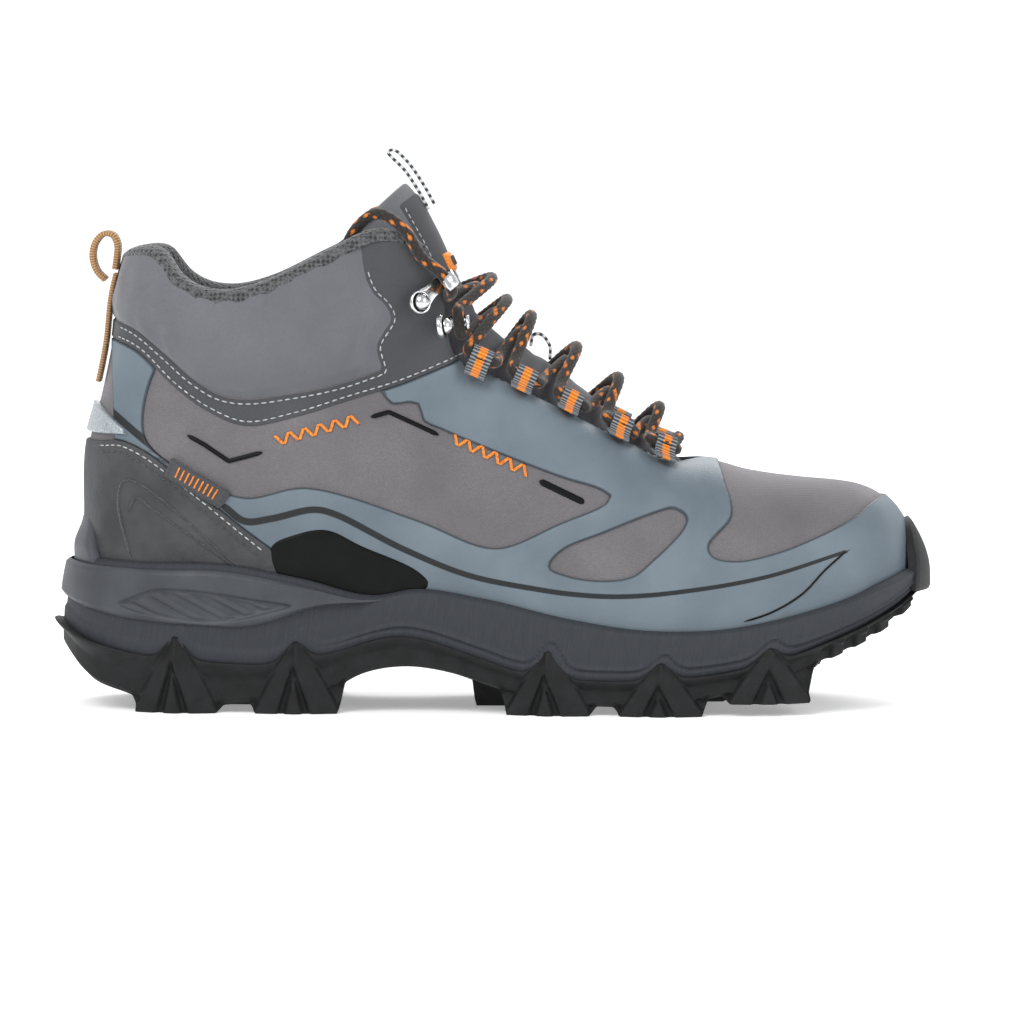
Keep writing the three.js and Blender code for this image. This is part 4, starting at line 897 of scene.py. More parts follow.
BAND_LOW = [(-134, 128.5), (-123, 124), (-110, 112), (-98, 103.5), (-85, 98.5), (-68, 101.5), (-50, 107), (-32, 112.5),
            (-18, 118), (-11, 121)]
BAND_HIGH = [(-134, 135), (-123.5, 131), (-113, 123), (-102.5, 114), (-94, 109), (-85, 107.5), (-71, 109),
             (-53, 112.5), (-38, 117.5), (-40, 126), (-37.5, 131), (-35, 135.5), (-37, 140), (-41, 144), (-44, 151),
             (-46, 175)]
MAIN_WINDOW = [(-120, 95), (-102.5, 81), (-85, 74), (-64, 77.5), (-25.5, 66), (-4.5, 57.5), (4, 57), (23.5, 65.5),
               (38, 71.5), (40.5, 74), (37.5, 76.5), (23.5, 81), (2.5, 89), (-18.5, 97.5), (-24, 100), (-25.5, 105.5),
               (-30, 106.5), (-34, 105.5), (-42, 112), (-85, 104), (-112, 122)]
SMALL_WINDOW = [(19.5, 50.5), (23.5, 56), (37.5, 62), (56.5, 69), (62, 70), (66.5, 67), (65.5, 63.5), (55, 53),
                (48, 47.5), (38, 46), (26, 47.5)]
TOE_WINDOW = [(74, 57.5), (82, 67), (82, 72.5), (80, 79), (79, 95), (160, 95), (160, 77), (133, 71.5), (125, 66.5),
              (111, 60), (97, 55), (84, 52.5), (75.5, 54)]
HEEL_PANEL = [(-160, 92), (-136, 92.5), (-129, 93), (-120, 89.5), (-102.5, 77), (-85, 63), (-67.5, 50.5)]
BLACK_PANEL = [(-76, 57), (-67.5, 61.5), (-57, 63), (-45, 57.5), (-25.5, 48.5), (-22, 44), (-40, 36), (-70, 42)]
LABEL = [(-110, 87.5), (-89.5, 76), (-93.5, 70), (-112.5, 81)]
REFLECTOR = [(-150, 110), (-138, 106), (-125, 95), (-150, 95)]
BAND_TOP = spline(BAND_HIGH[:9], 60).tolist() + spline(BAND_HIGH[8:], 60)[1:].tolist()
BAND_FOOT = spline(BAND_LOW, 80).tolist()


def sole_edge(low, high, lift):
    """Side-view line along the top of the midsole, lift above it."""
    x = np.linspace(low, high, 60)
    return np.stack([x, midsole_top(x) + lift], axis=1).tolist()


SX, SZ = UPPER.base[:, 0], UPPER.base[:, 2]
band_zone = [(-160, 130)] + BAND_FOOT + [(10, 121), (10, 230)] + BAND_TOP[::-1] + [(-160, 140)]
ankle_zone = BAND_TOP + [(-160, 230), (-160, 140)]
film_zone = sole_edge(-128, 165, -4) + [(165, 110), (60, 110), (20, 130), (-8, 124)] + BAND_FOOT[:0:-1]
heel_zone = spline(HEEL_PANEL[1:], 50).tolist() + sole_edge(-60, -165, -6) + [(-165, 92)]
windows = [rounded(MAIN_WINDOW), rounded(SMALL_WINDOW), rounded(TOE_WINDOW, 200)]
film_field = np.minimum.reduce([inside(film_zone, SX, SZ), -inside(heel_zone, SX, SZ)]
                               + [-inside(w, SX, SZ) for w in windows])


def overlay(name, field, depth, finish, nodes, slot, extra=None, step=0.5, skirt=1.4):
    """A panel where field is positive, laid at depth, its edge rolled over by step."""
    values = dict(UPPER.values, edge=field, **(extra or {}))
    whole = Sheet(UPPER.base, UPPER.normal, UPPER.faces, **values)
    scored, at = whole.split(field, step)
    cut, at = scored.split(at, 0.0, keep=True)
    rise = np.where(at > 0.05, ramp(-0.3, step, at), 0)
    level = depth(cut) if callable(depth) else depth
    made = cut.solid(name, level - 0.45 * (1 - rise), skirt, [finish], edge=cut.values["edge"],
                     **{k: cut.values[k] for k in (extra or {})})
    hand_over(made, "boot", slot, *nodes)


# Depth of each layer's face outside the boot's own surface.
BAND_DEPTH, FILM_DEPTH, LEATHER_DEPTH, BLACK_DEPTH, TAPE_DEPTH, LABEL_DEPTH = 0.55, 0.95, 1.35, 1.5, 2.0, 2.2

# Softshell body under everything, up to the facing band.
softshell_field = -np.maximum(inside(band_zone, SX, SZ), inside(ankle_zone, SX, SZ)) + 3
overlay("softshell_body", np.minimum(softshell_field, 60), 0.0, SOFTSHELL,
        ["quarter_lateral", "quarter_medial", "vamp"], "softshell")
overlay("facing_band", inside(band_zone, SX, SZ), BAND_DEPTH, BAND,
        ["facing_band_lateral", "facing_band_medial"], "facing")

# The pinstripe runs from the heel to a point near the toe and back. The heel stripe slants under the ankle.
stripe_line = spline([(-91.7, 70.7), (-85, 66), (-76, 66.9), (-61.6, 70), (-54.6, 68.6), (-30, 56), (-8, 47.3),
                      (16.5, 42.7), (27.7, 41.3), (42.7, 40.6), (62.7, 42), (92.8, 46.9), (121, 55)], 160)
return_line = spline([(121, 55), (113.8, 49), (106, 41.3), (94.9, 35), (79.5, 30.5)], 60)
heel_stripe = spline([(-135.1, 105.7), (-122, 95), (-110.3, 86.1)], 20)
overlay("fused_film", film_field, FILM_DEPTH, FILM_FINISH, ["film_overlay_lateral", "film_overlay_medial"], "film",
        beside([(stripe_line, np.linspace(1.25, 0.6, 161)), (heel_stripe, 1.3)], SX, SZ))

loop_line = spline([(-123.6, 51), (-128.5, 71.8), (-126.3, 79.5), (-119.4, 77.3), (-86, 49.4)], 60)
inner_loop = spline([(-125, 68.6), (-122.2, 73.5), (-116.2, 69.6), (-86.8, 49.4)], 40)
overlay("heel_panel_leather", inside(heel_zone, SX, SZ), LEATHER_DEPTH, LEATHER,
        ["heel_panel"], "heel_leather", step=0.7)
overlay("gloss_side_panel", inside(rounded(BLACK_PANEL), SX, SZ), BLACK_DEPTH, BLACK,
        ["black_panel_lateral", "black_panel_medial"], "black_film")


# ---------------------------------------------------------------- soft padding
def puffed(made, pinned, pressure, limit_mm, stretch=0.0, frames=20):
    """Cloth under pressure, pinned at the given points, with the motion capped; the result is kept in the mesh."""
    rest = np.array([v.co for v in made.data.vertices])
    group = made.vertex_groups.new(name="pinned")
    group.add([int(i) for i in pinned], 1.0, "REPLACE")
    cloth = made.modifiers.new("cloth", "CLOTH")
    cloth.settings.quality = 6
    cloth.settings.mass = 0.15
    cloth.settings.tension_stiffness = 25
    cloth.settings.compression_stiffness = 10
    cloth.settings.shear_stiffness = 8
    cloth.settings.bending_stiffness = 0.8
    cloth.settings.use_pressure = True
    cloth.settings.uniform_pressure_force = pressure
    cloth.settings.shrink_min = -stretch
    cloth.settings.vertex_group_mass = "pinned"
    cloth.settings.effector_weights.gravity = 0
    cloth.collision_settings.use_collision = False
    for frame_number in range(1, frames + 1):
        bpy.context.scene.frame_set(frame_number)
    shaped = bpy.data.meshes.new_from_object(made.evaluated_get(bpy.context.evaluated_depsgraph_get()))
    settled = np.array([v.co for v in shaped.vertices])
    made.modifiers.remove(cloth)
    made.vertex_groups.clear()
    bpy.data.meshes.remove(shaped)
    bpy.context.scene.frame_set(1)
    move = settled - rest
    size = np.linalg.norm(move, axis=1, keepdims=True)
    rest = rest + move * np.minimum(1, limit_mm * MM / np.maximum(size, 1e-9))
    made.data.vertices.foreach_set("co", rest.astype(np.float32).ravel())
    made.data.update()
    return rest / MM


def subdivide(made):
    """One subdivision, the same live and in the render."""
    finer = made.modifiers.new("finer", "SUBSURF")
    finer.levels = finer.render_levels = 1


# Padded ankle panels: stitched down along the band, filled out between the seams.
def padded_ankle(side):
    """Rows from the seam up to the collar edge; columns from the heel back to the facing."""
    columns, rows = 64, 26
    levels = np.linspace(0, 1, rows)
    grid_w = np.zeros((columns, rows))
    grid_v = np.zeros((columns, rows))
    for j, k in enumerate(levels):
        u = np.linspace(0, 0.5, 240)
        low = station_at(u, np.interp(skin_point(u, 0.75)[:, 0], *np.array(BAND_HIGH[:9]).T) + 0.4)
        v = mix(low, 1.0, k)
        at = skin_point(u, v)
        ahead = (inside(ankle_zone, at[:, 0], at[:, 2]) < 0) & (u > 0.3)
        stop = u[np.argmax(ahead)] if ahead.any() else 0.5
        grid_w[:, j] = np.linspace(0, 1, columns) * stop
        grid_v[:, j] = np.interp(grid_w[:, j], u, v)
    w = grid_w if side < 0 else 2 - grid_w
    share_v = np.broadcast_to(levels, w.shape)
    share_w = np.broadcast_to(np.linspace(0, 1, columns)[:, None], w.shape)
    fill = np.sin(math.pi * np.clip(share_v * 0.93, 0, 1)) ** 0.6 * np.minimum(1, (1 - share_w) * 6) ** 0.6
    edge = np.minimum(1, np.minimum(share_v * 12, (1 - share_w) * 20))
    points = skin(w, grid_v, 0.25 + 0.75 * edge + 0.8 * fill)
    faces = lattice(columns, rows)
    if side < 0:
        faces = faces[:, ::-1]
    name = "lateral" if side < 0 else "medial"
    made = piece(f"padded_ankle_{name}", points, faces, [ANKLE])
    flat = np.arange(columns * rows).reshape(columns, rows)
    pinned = np.unique(np.concatenate([flat[:, 0], flat[:, -1], flat[-1], flat[0], flat[:, 1], flat[-2]]))
    puffed(made, pinned, 1.6, 1.6, stretch=0.012)
    subdivide(made)
    hand_over(made, "boot", "ankle_fabric", f"ankle_panel_{name}", f"collar_foam_{name}")


for side in (-1, 1):
    padded_ankle(side)


# ---------------------------------------------------------------- collar edge and lining
def collar_edge():
    """The rolled mesh edge, from one facing round the heel to the other."""
    w = np.linspace(-0.455, 0.455, 181)
    fade = mix(0.7, 1, ramp(0.42, 0.36, np.abs(w))) * mix(0.35, 1, ramp(0.455, 0.40, np.abs(w)))
    section = spline([(1.5, -1.6), (1.6, 0.6), (0.4, 2.4), (-2, 3.3), (-4.6, 3.1), (-6.8, 1.7), (-8.2, -1.5),
                      (-8.9, -7), (-9.0, -14)], 22)
    rows = []
    for depth, rise in section:
        place = skin(w, np.ones_like(w), depth * fade)
        place[:, 2] = skin_point(w, np.ones_like(w))[:, 2] + rise * mix(0.6, 1, fade)
        rows.append(place)
    grid = np.stack(rows, axis=1)
    made = piece("collar_edge_mesh", grid, lattice(181, 23)[:, ::-1], [MESH])
    hand_over(made, "boot", "lining_mesh", "collar_binding")
    subdivide(made)


def inner_lining():
    """The mesh lining of the whole inside, thicker over the collar padding."""
    stations = np.append(ROUND[::3], 2.0)
    levels = np.linspace(0.02, 0.995, 36)
    w, v = np.meshgrid(stations, levels, indexing="ij")
    u = around(w)
    pad = ramp(0.45, 0.39, u) * ramp(0.5, 0.66, v)
    grid = skin(w, v, -(3.2 + 3.8 * pad + 1.2))
    made = piece("inner_lining_mesh", grid, lattice(len(stations), len(levels)), [MESH])
    hand_over(made, "boot", "lining_mesh", "lining")


collar_edge()
inner_lining()


# ---------------------------------------------------------------- tongue
def tongue_pad():
    """A padded tongue: smooth face, mesh back, creased under the laces."""
    rows, columns = 84, 40
    t, q = np.meshgrid(np.linspace(0, 1, rows), np.linspace(-1, 1, columns), indexing="ij")
    edge = np.minimum(1, (1 - np.abs(q)) * 5) ** 0.5
    crease = sum(np.exp(-((t - place - 0.02 * np.sin(3 * q + i)) / 0.011) ** 2) * strength
                 for i, (place, strength) in enumerate([(0.16, 0.8), (0.235, 1.3), (0.315, 1.0), (0.40, 1.5),
                                                        (0.475, 1.1), (0.56, 1.5), (0.64, 1.0), (0.7, 0.8)]))
    crease = crease * ramp(0, 0.35, np.abs(q) + 0.15)
    face = tongue_point(t, q, mix(-2.6, 0.35, edge) - 0.75 * crease)
    back = tongue_point(t, q, mix(-3.0, -6.1, edge))
    grid = np.concatenate([face, back[:, ::-1]], axis=1)
    n = grid.shape[1]
    faces = lattice(rows, n, wrap_columns=True)
    slots = ((faces[:, 0] % n >= columns) | (faces[:, 1] % n >= columns)).astype(int)
    close = []
    for row in (0, rows - 1):
        for k in range(columns - 1):
            quad = [row * n + k, row * n + k + 1, row * n + n - 2 - k, row * n + n - 1 - k]
            close.append(quad if row else quad[::-1])
    slots = np.concatenate([slots, np.ones(len(close), int)])
    all_faces = np.concatenate([faces[:, ::-1], np.array(close)])
    made = piece("padded_tongue", grid, all_faces, [ANKLE, MESH], slots=slots)
    outward(made)
    flat = np.arange(rows * n).reshape(rows, n)
    pinned = np.unique(np.concatenate([flat[0], flat[1], flat[:, 0], flat[:, columns - 1], flat[:, columns],
                                       flat[:, -1], flat[:, columns:].ravel()]))
    puffed(made, pinned, 1.2, 1.0, stretch=0.015)
    subdivide(made)
    hand_over(made, "tongue", "ankle_fabric", "tongue_face", "tongue_foam", "tongue_lining")


tongue_pad()


def on_tongue(name, low, high, reach, depth, finish, node, slot, rows=24, columns=24, thick=0.8):
    """A thin patch on the tongue's face between two shares of its length, reach to each side of the middle."""
    t, q = np.meshgrid(np.linspace(low, high, rows), np.linspace(-reach, reach, columns), indexing="ij")
    edge = np.minimum.reduce([np.abs(t - low), np.abs(high - t)]) * 140
    side = (reach - np.abs(q)) * 20
    round_off = np.minimum(1, np.minimum(edge, side)) ** 0.5
    grid = tongue_point(t, q, depth - thick * (1 - round_off))
    made = piece(name, grid, lattice(rows, columns), [finish])
    hand_over(made, "tongue", slot, node)


on_tongue("tongue_patch_fabric", 0.745, 0.965, 0.42, 1.2, BAND, "tongue_patch", "facing")
on_tongue("tongue_badge_rubber", 0.75, 0.80, 0.22, 2.1, ORANGE_THREAD, "tongue_badge", "orange_webbing")


# ---------------------------------------------------------------- pull loops and the lace keeper
def band_along(name, line, width, thick, finish, body, node, slot):
    """A flat band of webbing that follows a side-view line."""
    path = spline(line, len(line) * 7)
    way = unit(np.gradient(path, axis=0))
    normal = np.stack([-way[:, 1], way[:, 0]], axis=1)
    half, t = width / 2, thick / 2
    flat = half * 0.94
    section = [(-half, -t * 0.4)] + [(k * flat, -t) for k in (-1, -0.5, 0, 0.5, 1)] + [(half, -t * 0.4),
               (half, t * 0.4)] + [(k * flat, t) for k in (1, 0.5, 0, -0.5, -1)] + [(-half, t * 0.4)]
    grid = np.array([[(p[0] + n[0] * out, y, p[1] + n[1] * out) for y, out in section]
                     for p, n in zip(path, normal)])
    count = len(section)
    run = np.repeat(run_along(path)[:, None], count, 1)
    across = np.broadcast_to(np.array([y / half for y, _ in section]), run.shape)
    made = piece(name, grid, tube_faces(len(path), count), [finish], run=run, across=across)
    outward(made)
    hand_over(made, body, slot, node)


HEEL_LOOP = [(-131.6, 151.5), (-131, 156), (-130.8, 160), (-132.4, 163.4), (-135.6, 163.8), (-138.6, 160.5),
             (-139.4, 155.5), (-138, 151), (-135, 147.8)]
TONGUE_LOOP = [(-22.4, 172.4), (-26.2, 179.2), (-30.8, 186), (-35, 190.2), (-36.6, 192.2), (-34.6, 193),
               (-30, 189.2), (-24.6, 181.6), (-20.4, 174.2)]
KEEPER = [(13.2, 124.8), (14.2, 128.6), (17, 128.6), (19.8, 124.8), (19.9, 120)]
band_along("heel_pull_loop", HEEL_LOOP, 12, 1.9, LOOP_WEB, "heel_pull", "heel_loop", "orange_webbing")
band_along("tongue_pull_loop", TONGUE_LOOP, 5, 1.0, PULL_WEB, "tongue_pull", "tongue_loop", "grey_webbing")
band_along("lace_keeper_band", KEEPER, 6, 1.0, PULL_WEB, "tongue", "lace_keeper", "grey_webbing")


def back_line(low, high, depth, count):
    """Side-view line of the heel back between two levels, depth outside it."""
    z = np.linspace(low, high, count)
    v = station_at(np.zeros(count), z)
    return skin(np.zeros(count), v, np.full(count, float(depth)))[:, [0, 2]]


band_along("heel_strap_band", back_line(112, 149.5, 2.0, 8), 12, 1.5, LOOP_WEB, "boot", "heel_strap",
           "orange_webbing")


# ---------------------------------------------------------------- sole unit
CLAWS = [(-109.5, 26.0), (-67.5, 24.5), (18.5, 21.8), (57.5, 18.0), (95.5, 23.0)]      # middle along the boot, top
CLAW_HALF = 16.0
CUT_DROP, TOOTH_DROP = 6.0, 10.5      # how far under the peak the groove and the tooth inside it start
FLAT_TREAD = 6.5
CHEVRONS = (-86, 2, 38, 76, 110)      # middles of the centre lugs


def claw_shape(x, z):
    """Where the claws are (0 to 1), how near their ridge, and where the groove of the A is cut."""
    proud = np.zeros_like(x)
    ridge = np.zeros_like(x)
    groove = np.zeros_like(x)
    for middle, top in CLAWS:
        foot = np.maximum(0, tread_base(middle) - FLAT_TREAD)
        drop = np.clip((top - z) / (top - foot), 0, 1.2)
        half = mix(1.6, CLAW_HALF, drop ** 0.85)
        off = x - middle
        face = np.clip((half - np.abs(off)) / 1.2, 0, 1) * ramp(top + 0.6, top - 0.8, z)
        ridge = np.maximum(ridge, (1 - np.clip(np.abs(off) / np.maximum(half, 1), 0, 1)) * (face > 0))
        proud = np.maximum(proud, face)
        cut_top, tooth_top = top - CUT_DROP, top - TOOTH_DROP
        inner = np.clip((cut_top - z) / (cut_top - foot), 0, 1.2) * 6.2
        tooth = np.clip((tooth_top - z) / (tooth_top - foot), 0, 1.2) * 3.4
        cut = np.clip((inner - np.abs(off + 1)) / 0.9, 0, 1) * (z < cut_top)
        cut = cut * (1 - 0.85 * np.clip((tooth - np.abs(off + 1)) / 0.8, 0, 1) * (z < tooth_top))
        groove = np.maximum(groove, cut)
    return proud, ridge, groove


def rubber_edge(x):
    """Upper edge of the rubber on the side walls: it rises over every claw."""
    level = outsole_top(x) + 0.3
    for middle, top in CLAWS:
        level = np.maximum(level, mix(level, top + 0.4, np.exp(-((x - middle) / 5.0) ** 2)))
    return level


def tread_level(x, side_share):
    """Underside: edge lugs, centre chevrons and the ground between them."""
    level = tread_base(x)
    for middle, _ in CLAWS:
        foot = np.maximum(0, tread_base(np.full_like(x, middle)) - FLAT_TREAD)
        lug = ramp(CLAW_HALF + 1.0, CLAW_HALF - 2.2, np.abs(x - middle)) * ramp(0.50, 0.42, side_share)
        slot = ramp(2.0, 1.2, np.abs(x - middle)) * ramp(0.10, 0.2, side_share) * 0.45
        level = mix(level, np.minimum(level, foot), lug * (1 - slot))
    for middle in CHEVRONS:
        foot = np.maximum(0, tread_base(np.full_like(x, middle + 8.0)) - FLAT_TREAD)
        bent = np.abs(x - middle - (side_share - 1) * 7)
        lug = ramp(8.4, 6.6, bent) * ramp(0.66, 0.74, side_share)
        level = mix(level, np.minimum(level, foot), lug)
    return level


def sole_stations(count, steps):
    """Evenly spaced stations round the sole's outline, and the distance round it at each."""
    fine = np.linspace(0, 1, steps)
    run = np.concatenate([[0], np.cumsum(np.hypot(np.diff(sole_x(fine)), np.diff(sole_y(fine))))])
    even = np.linspace(0, run[-1], count)
    half = np.interp(even, run, fine)
    return np.concatenate([half, 2 - half[-2:0:-1]]), np.concatenate([even, 2 * run[-1] - even[-2:0:-1]])


def outsole_piece():
    """Side walls with claws, then the underside with its lugs."""
    w, _ = sole_stations(560, 3000)
    x = sole_x(w)
    out = sole_outward(w)
    edge = np.stack([x, sole_y(w), np.zeros_like(x)], axis=1)
    top = rubber_edge(x)
    bottom = tread_level(x, np.zeros_like(x))
    plate_low = tread_base(x)
    rows = []
    for k in np.linspace(0, 1, 44):
        z = mix(top, bottom, k)
        proud, facet, groove = claw_shape(x, z)
        share = np.clip((z - plate_low) / np.maximum(outsole_top(x) - plate_low, 1), 0, 1)
        toe_ribs = ramp(108, 116, x) * ramp(0.95, 0.7, share) * ramp(-0.4, 0.5, np.sin(x * 0.75)) * 2.6
        heel_wall = ramp(-128, -140, x) * 1.6
        wall = toe_ribs + heel_wall - (0.7 + 3.0 * ramp(1.0, 0.55, share) + 1.6 * ramp(0.12, 0.0, share))
        lip = 0.6 * ramp(0.03, 0.0, k)
        over = np.clip(z - outsole_top(x), 0, 12)
        claw = -2.2 + 3.4 * facet - 2.2 * groove - 0.18 * over
        depth = np.minimum(mix(wall, claw, proud), 1.2) - lip
        ring = edge + out * depth[:, None]
        ring[:, 2] = z
        rows.append(ring)
    twin = np.concatenate([[0], np.arange(len(w) - 1, 0, -1)])
    last = rows[-1]
    middle_y = (last[:, 1] + last[twin, 1]) / 2
    for k in np.concatenate([np.linspace(0, 0.6, 26)[1:], np.linspace(0.6, 1, 18)[1:]]):
        ring = last.copy()
        ring[:, 1] = mix(last[:, 1], middle_y, k)
        ring[:, 2] = tread_level(x, np.full_like(x, k))
        rows.append(ring)
    inner = rows[0] - out * 6
    inner[:, 2] = np.minimum(rows[0][:, 2] - 0.6, outsole_top(x) - 0.4)
    rows.insert(0, inner)
    grid = np.stack(rows)
    faces = lattice(len(rows), len(w), wrap_columns=True)
    made = piece("lugged_outsole", grid, faces, [RUBBER])
    weld(made, 0.01)
    outward(made)
    hand_over(made, "boot", "rubber", "outsole")


def midsole_piece():
    """The foam cup: its wall, a double line over the rubber, and a lip against the upper."""
    w, length = sole_stations(380, 2000)
    x = sole_x(w)
    rows, rise = [], []
    edge = rubber_edge(x)
    for h in np.linspace(-0.04, 1, 56):
        ring = midsole_wall(w, np.full_like(x, h), np.zeros_like(x))
        z = ring[:, 2]
        above = z - edge
        double = np.exp(-((above - 2.6) / 0.55) ** 2) * 0.9
        ledge = 0.8 * ramp(5.2, 3.2, above)
        roll = 0.9 * ramp(0.93, 1.0, h) ** 2
        ring = ring + sole_outward(w) * (ledge - double * ramp(-70, -30, x) - roll)[:, None]
        rows.append(ring)
        rise.append(z)
    lip = skin(w, station_at(w, midsole_top(x) + 0.4), np.full_like(x, 1.0))
    rows.append(mix(rows[-1], lip, 0.5) + np.array((0, 0, 0.5)))
    rows.append(lip)
    low = lip - np.array((0, 0, 3.0))
    rows.append(low - sole_outward(w) * 1.0)
    rise += [rise[-1]] * 3
    grid = np.stack(rows)
    runs = np.broadcast_to(length, grid.shape[:2])
    made = piece("scored_midsole", grid, lattice(len(rows), len(w), wrap_columns=True)[:, ::-1], [FOAM],
                 run=runs, rise=np.stack(rise))
    hand_over(made, "boot", "midsole_foam", "midsole")


RECESS = rounded([(-128, 37.2), (-122, 40.6), (-114.8, 42.9), (-105.7, 42.9), (-95.6, 41.9), (-82.3, 39.8),
                  (-68.5, 37.3), (-77.4, 34.5), (-87.5, 32), (-95.6, 31), (-103.6, 31.3), (-116.6, 33.2)])


def cradle_piece():
    """The heel cradle: a raised band round the heel with a ribbed hollow on each side."""
    w = np.linspace(-0.425, 0.425, 420)
    x = sole_x(w)
    end = 1 - 0.97 * ramp(0.24, 0.425, np.abs(w))
    rows = []
    for k in np.linspace(0, 1, 60):
        h = mix(mix(0.93, 0.36, end), 0.95, k)
        place = midsole_wall(w, h, np.zeros_like(x))
        hollow = inside(RECESS, place[:, 0], place[:, 2])
        sunk = ramp(-0.4, 1.0, hollow)
        ribs = ramp(1.0, 2.2, hollow) * np.clip(np.sin((place[:, 0] + 1.9 * place[:, 2]) * 0.62) * 1.6, -1, 1) * 0.45
        crown = 2.3 * np.minimum(1, np.minimum(k * 7, (1 - k) * 9 + 0.12)) ** 0.5
        fade = ramp(0.425, 0.385, np.abs(w))
        depth = (crown - 1.35 * sunk + ribs) * fade + 0.25
        rows.append(midsole_wall(w, h, np.minimum(depth, 2.7)))
    grid = np.stack(rows)
    made = piece("heel_cradle_moulding", grid, lattice(len(rows), len(w))[:, ::-1], [CRADLE])
    hand_over(made, "boot", "cradle", "heel_cradle")


outsole_piece()
midsole_piece()
cradle_piece()


# ---------------------------------------------------------------- trim on the upper
bumper_zone = [(141.5, 40), (143, 58), (143.5, 70), (170, 71), (170, 40)]
overlay("toe_bumper_rubber", inside(bumper_zone, SX, SZ),
        lambda s: 2.4 + 3.4 * ramp(68, 46, s.base[:, 2]), RUBBER, ["toe_bumper"], "rubber", step=1.2, skirt=3.0)
ledge_zone = [(-134, 50), (-165, 50), (-165, 66), (-139, 66)]
overlay("heel_ledge_rubber", inside(ledge_zone, SX, SZ), lambda s: 1.6 + 3.4 * ramp(66, 55, s.base[:, 2]), CRADLE,
        ["heel_ledge"], "rubber", step=1.0, skirt=3.0)
overlay("heel_reflector_tape", inside(REFLECTOR, SX, SZ), TAPE_DEPTH, REFLECTIVE,
        ["heel_reflector"], "reflective", step=0.3)
label_field = np.where(UPPER.base[:, 1] < 0, inside(LABEL, SX, SZ), -5)
overlay("woven_side_label", label_field, LABEL_DEPTH, BAND, ["side_label"], "facing", step=0.3)


def side_places(side):
    """Search tree over one side of the upper, by side view."""
    chosen = np.flatnonzero((np.sign(UPPER.base[:, 1]) == side) | (np.abs(UPPER.base[:, 1]) < 0.5))
    tree = KDTree(len(chosen))
    for number, i in enumerate(chosen):
        tree.insert((UPPER.base[i, 0], 0, UPPER.base[i, 2]), number)
    tree.balance()
    return chosen, tree


PLACES = {side: side_places(side) for side in (-1, 1)}


def laid(line, side, depth):
    """A side-view line laid on the upper, depth outside it."""
    chosen, tree = PLACES[side]
    points = []
    for x, z in line:
        i = chosen[tree.find((x, 0, z))[1]]
        base, normal = UPPER.base[i], UPPER.normal[i]
        y = base[1]
        if abs(normal[1]) > 0.25:
            y -= (normal[0] * (x - base[0]) + normal[2] * (z - base[2])) / normal[1]
        points.append(np.array((x, y, z)) + normal * depth)
    return np.array(points)


def moved(line, off):
    """A side-view line shifted sideways by off."""
    p = np.asarray(line, float)
    way = unit(np.gradient(p, axis=0))
    return p + np.stack([-way[:, 1], way[:, 0]], axis=1) * off


# Stitches along seams, made by one node tree.
def stitch_tree():
    """Lays capsule stitches along lines: stitch length, spacing and thickness are inputs."""
    tree = bpy.data.node_groups.new("seam_stitches", "GeometryNodeTree")
    face = tree.interface
    face.new_socket("Geometry", in_out="INPUT", socket_type="NodeSocketGeometry")
    for label in ("Stitch Length", "Spacing", "Thickness"):
        face.new_socket(label, in_out="INPUT", socket_type="NodeSocketFloat")
    face.new_socket("Thread", in_out="INPUT", socket_type="NodeSocketMaterial")
    face.new_socket("Geometry", in_out="OUTPUT", socket_type="NodeSocketGeometry")

    def put(kind, inputs=None, **settings):
        made = tree.nodes.new(kind)
        for key, value in settings.items():
            setattr(made, key, value)
        for key, value in (inputs or {}).items():
            if isinstance(value, bpy.types.NodeSocket):
                tree.links.new(value, made.inputs[key])
            else:
                made.inputs[key].default_value = value
        return made

    given = put("NodeGroupInput").outputs
    curve = put("GeometryNodeMeshToCurve", {"Mesh": given["Geometry"]})
    spaced = put("GeometryNodeResampleCurve", {"Curve": curve.outputs[0], "Length": given["Spacing"]}, mode="LENGTH")
    along = put("GeometryNodeInputTangent")
    turned = put("FunctionNodeAlignRotationToVector", {"Vector": along.outputs[0]}, axis="Z")
    half = put("ShaderNodeMath", {0: given["Stitch Length"], 1: 0.5}, operation="MULTIPLY")
    thin = put("ShaderNodeMath", {0: given["Thickness"], 1: 0.5}, operation="MULTIPLY")
    size = put("ShaderNodeCombineXYZ", {0: thin.outputs[0], 1: thin.outputs[0], 2: half.outputs[0]})
    bead = put("GeometryNodeMeshUVSphere", {"Segments": 6, "Rings": 5, "Radius": 1.0})
    laid_out = put("GeometryNodeInstanceOnPoints", {"Points": spaced.outputs[0], "Instance": bead.outputs[0],
                                                    "Rotation": turned.outputs[0], "Scale": size.outputs[0]})
    real = put("GeometryNodeRealizeInstances", {0: laid_out.outputs[0]})
    coloured = put("GeometryNodeSetMaterial", {"Geometry": real.outputs[0], "Material": given["Thread"]})
    out = put("NodeGroupOutput")
    tree.links.new(coloured.outputs[0], out.inputs[0])
    return tree


STITCHES = stitch_tree()


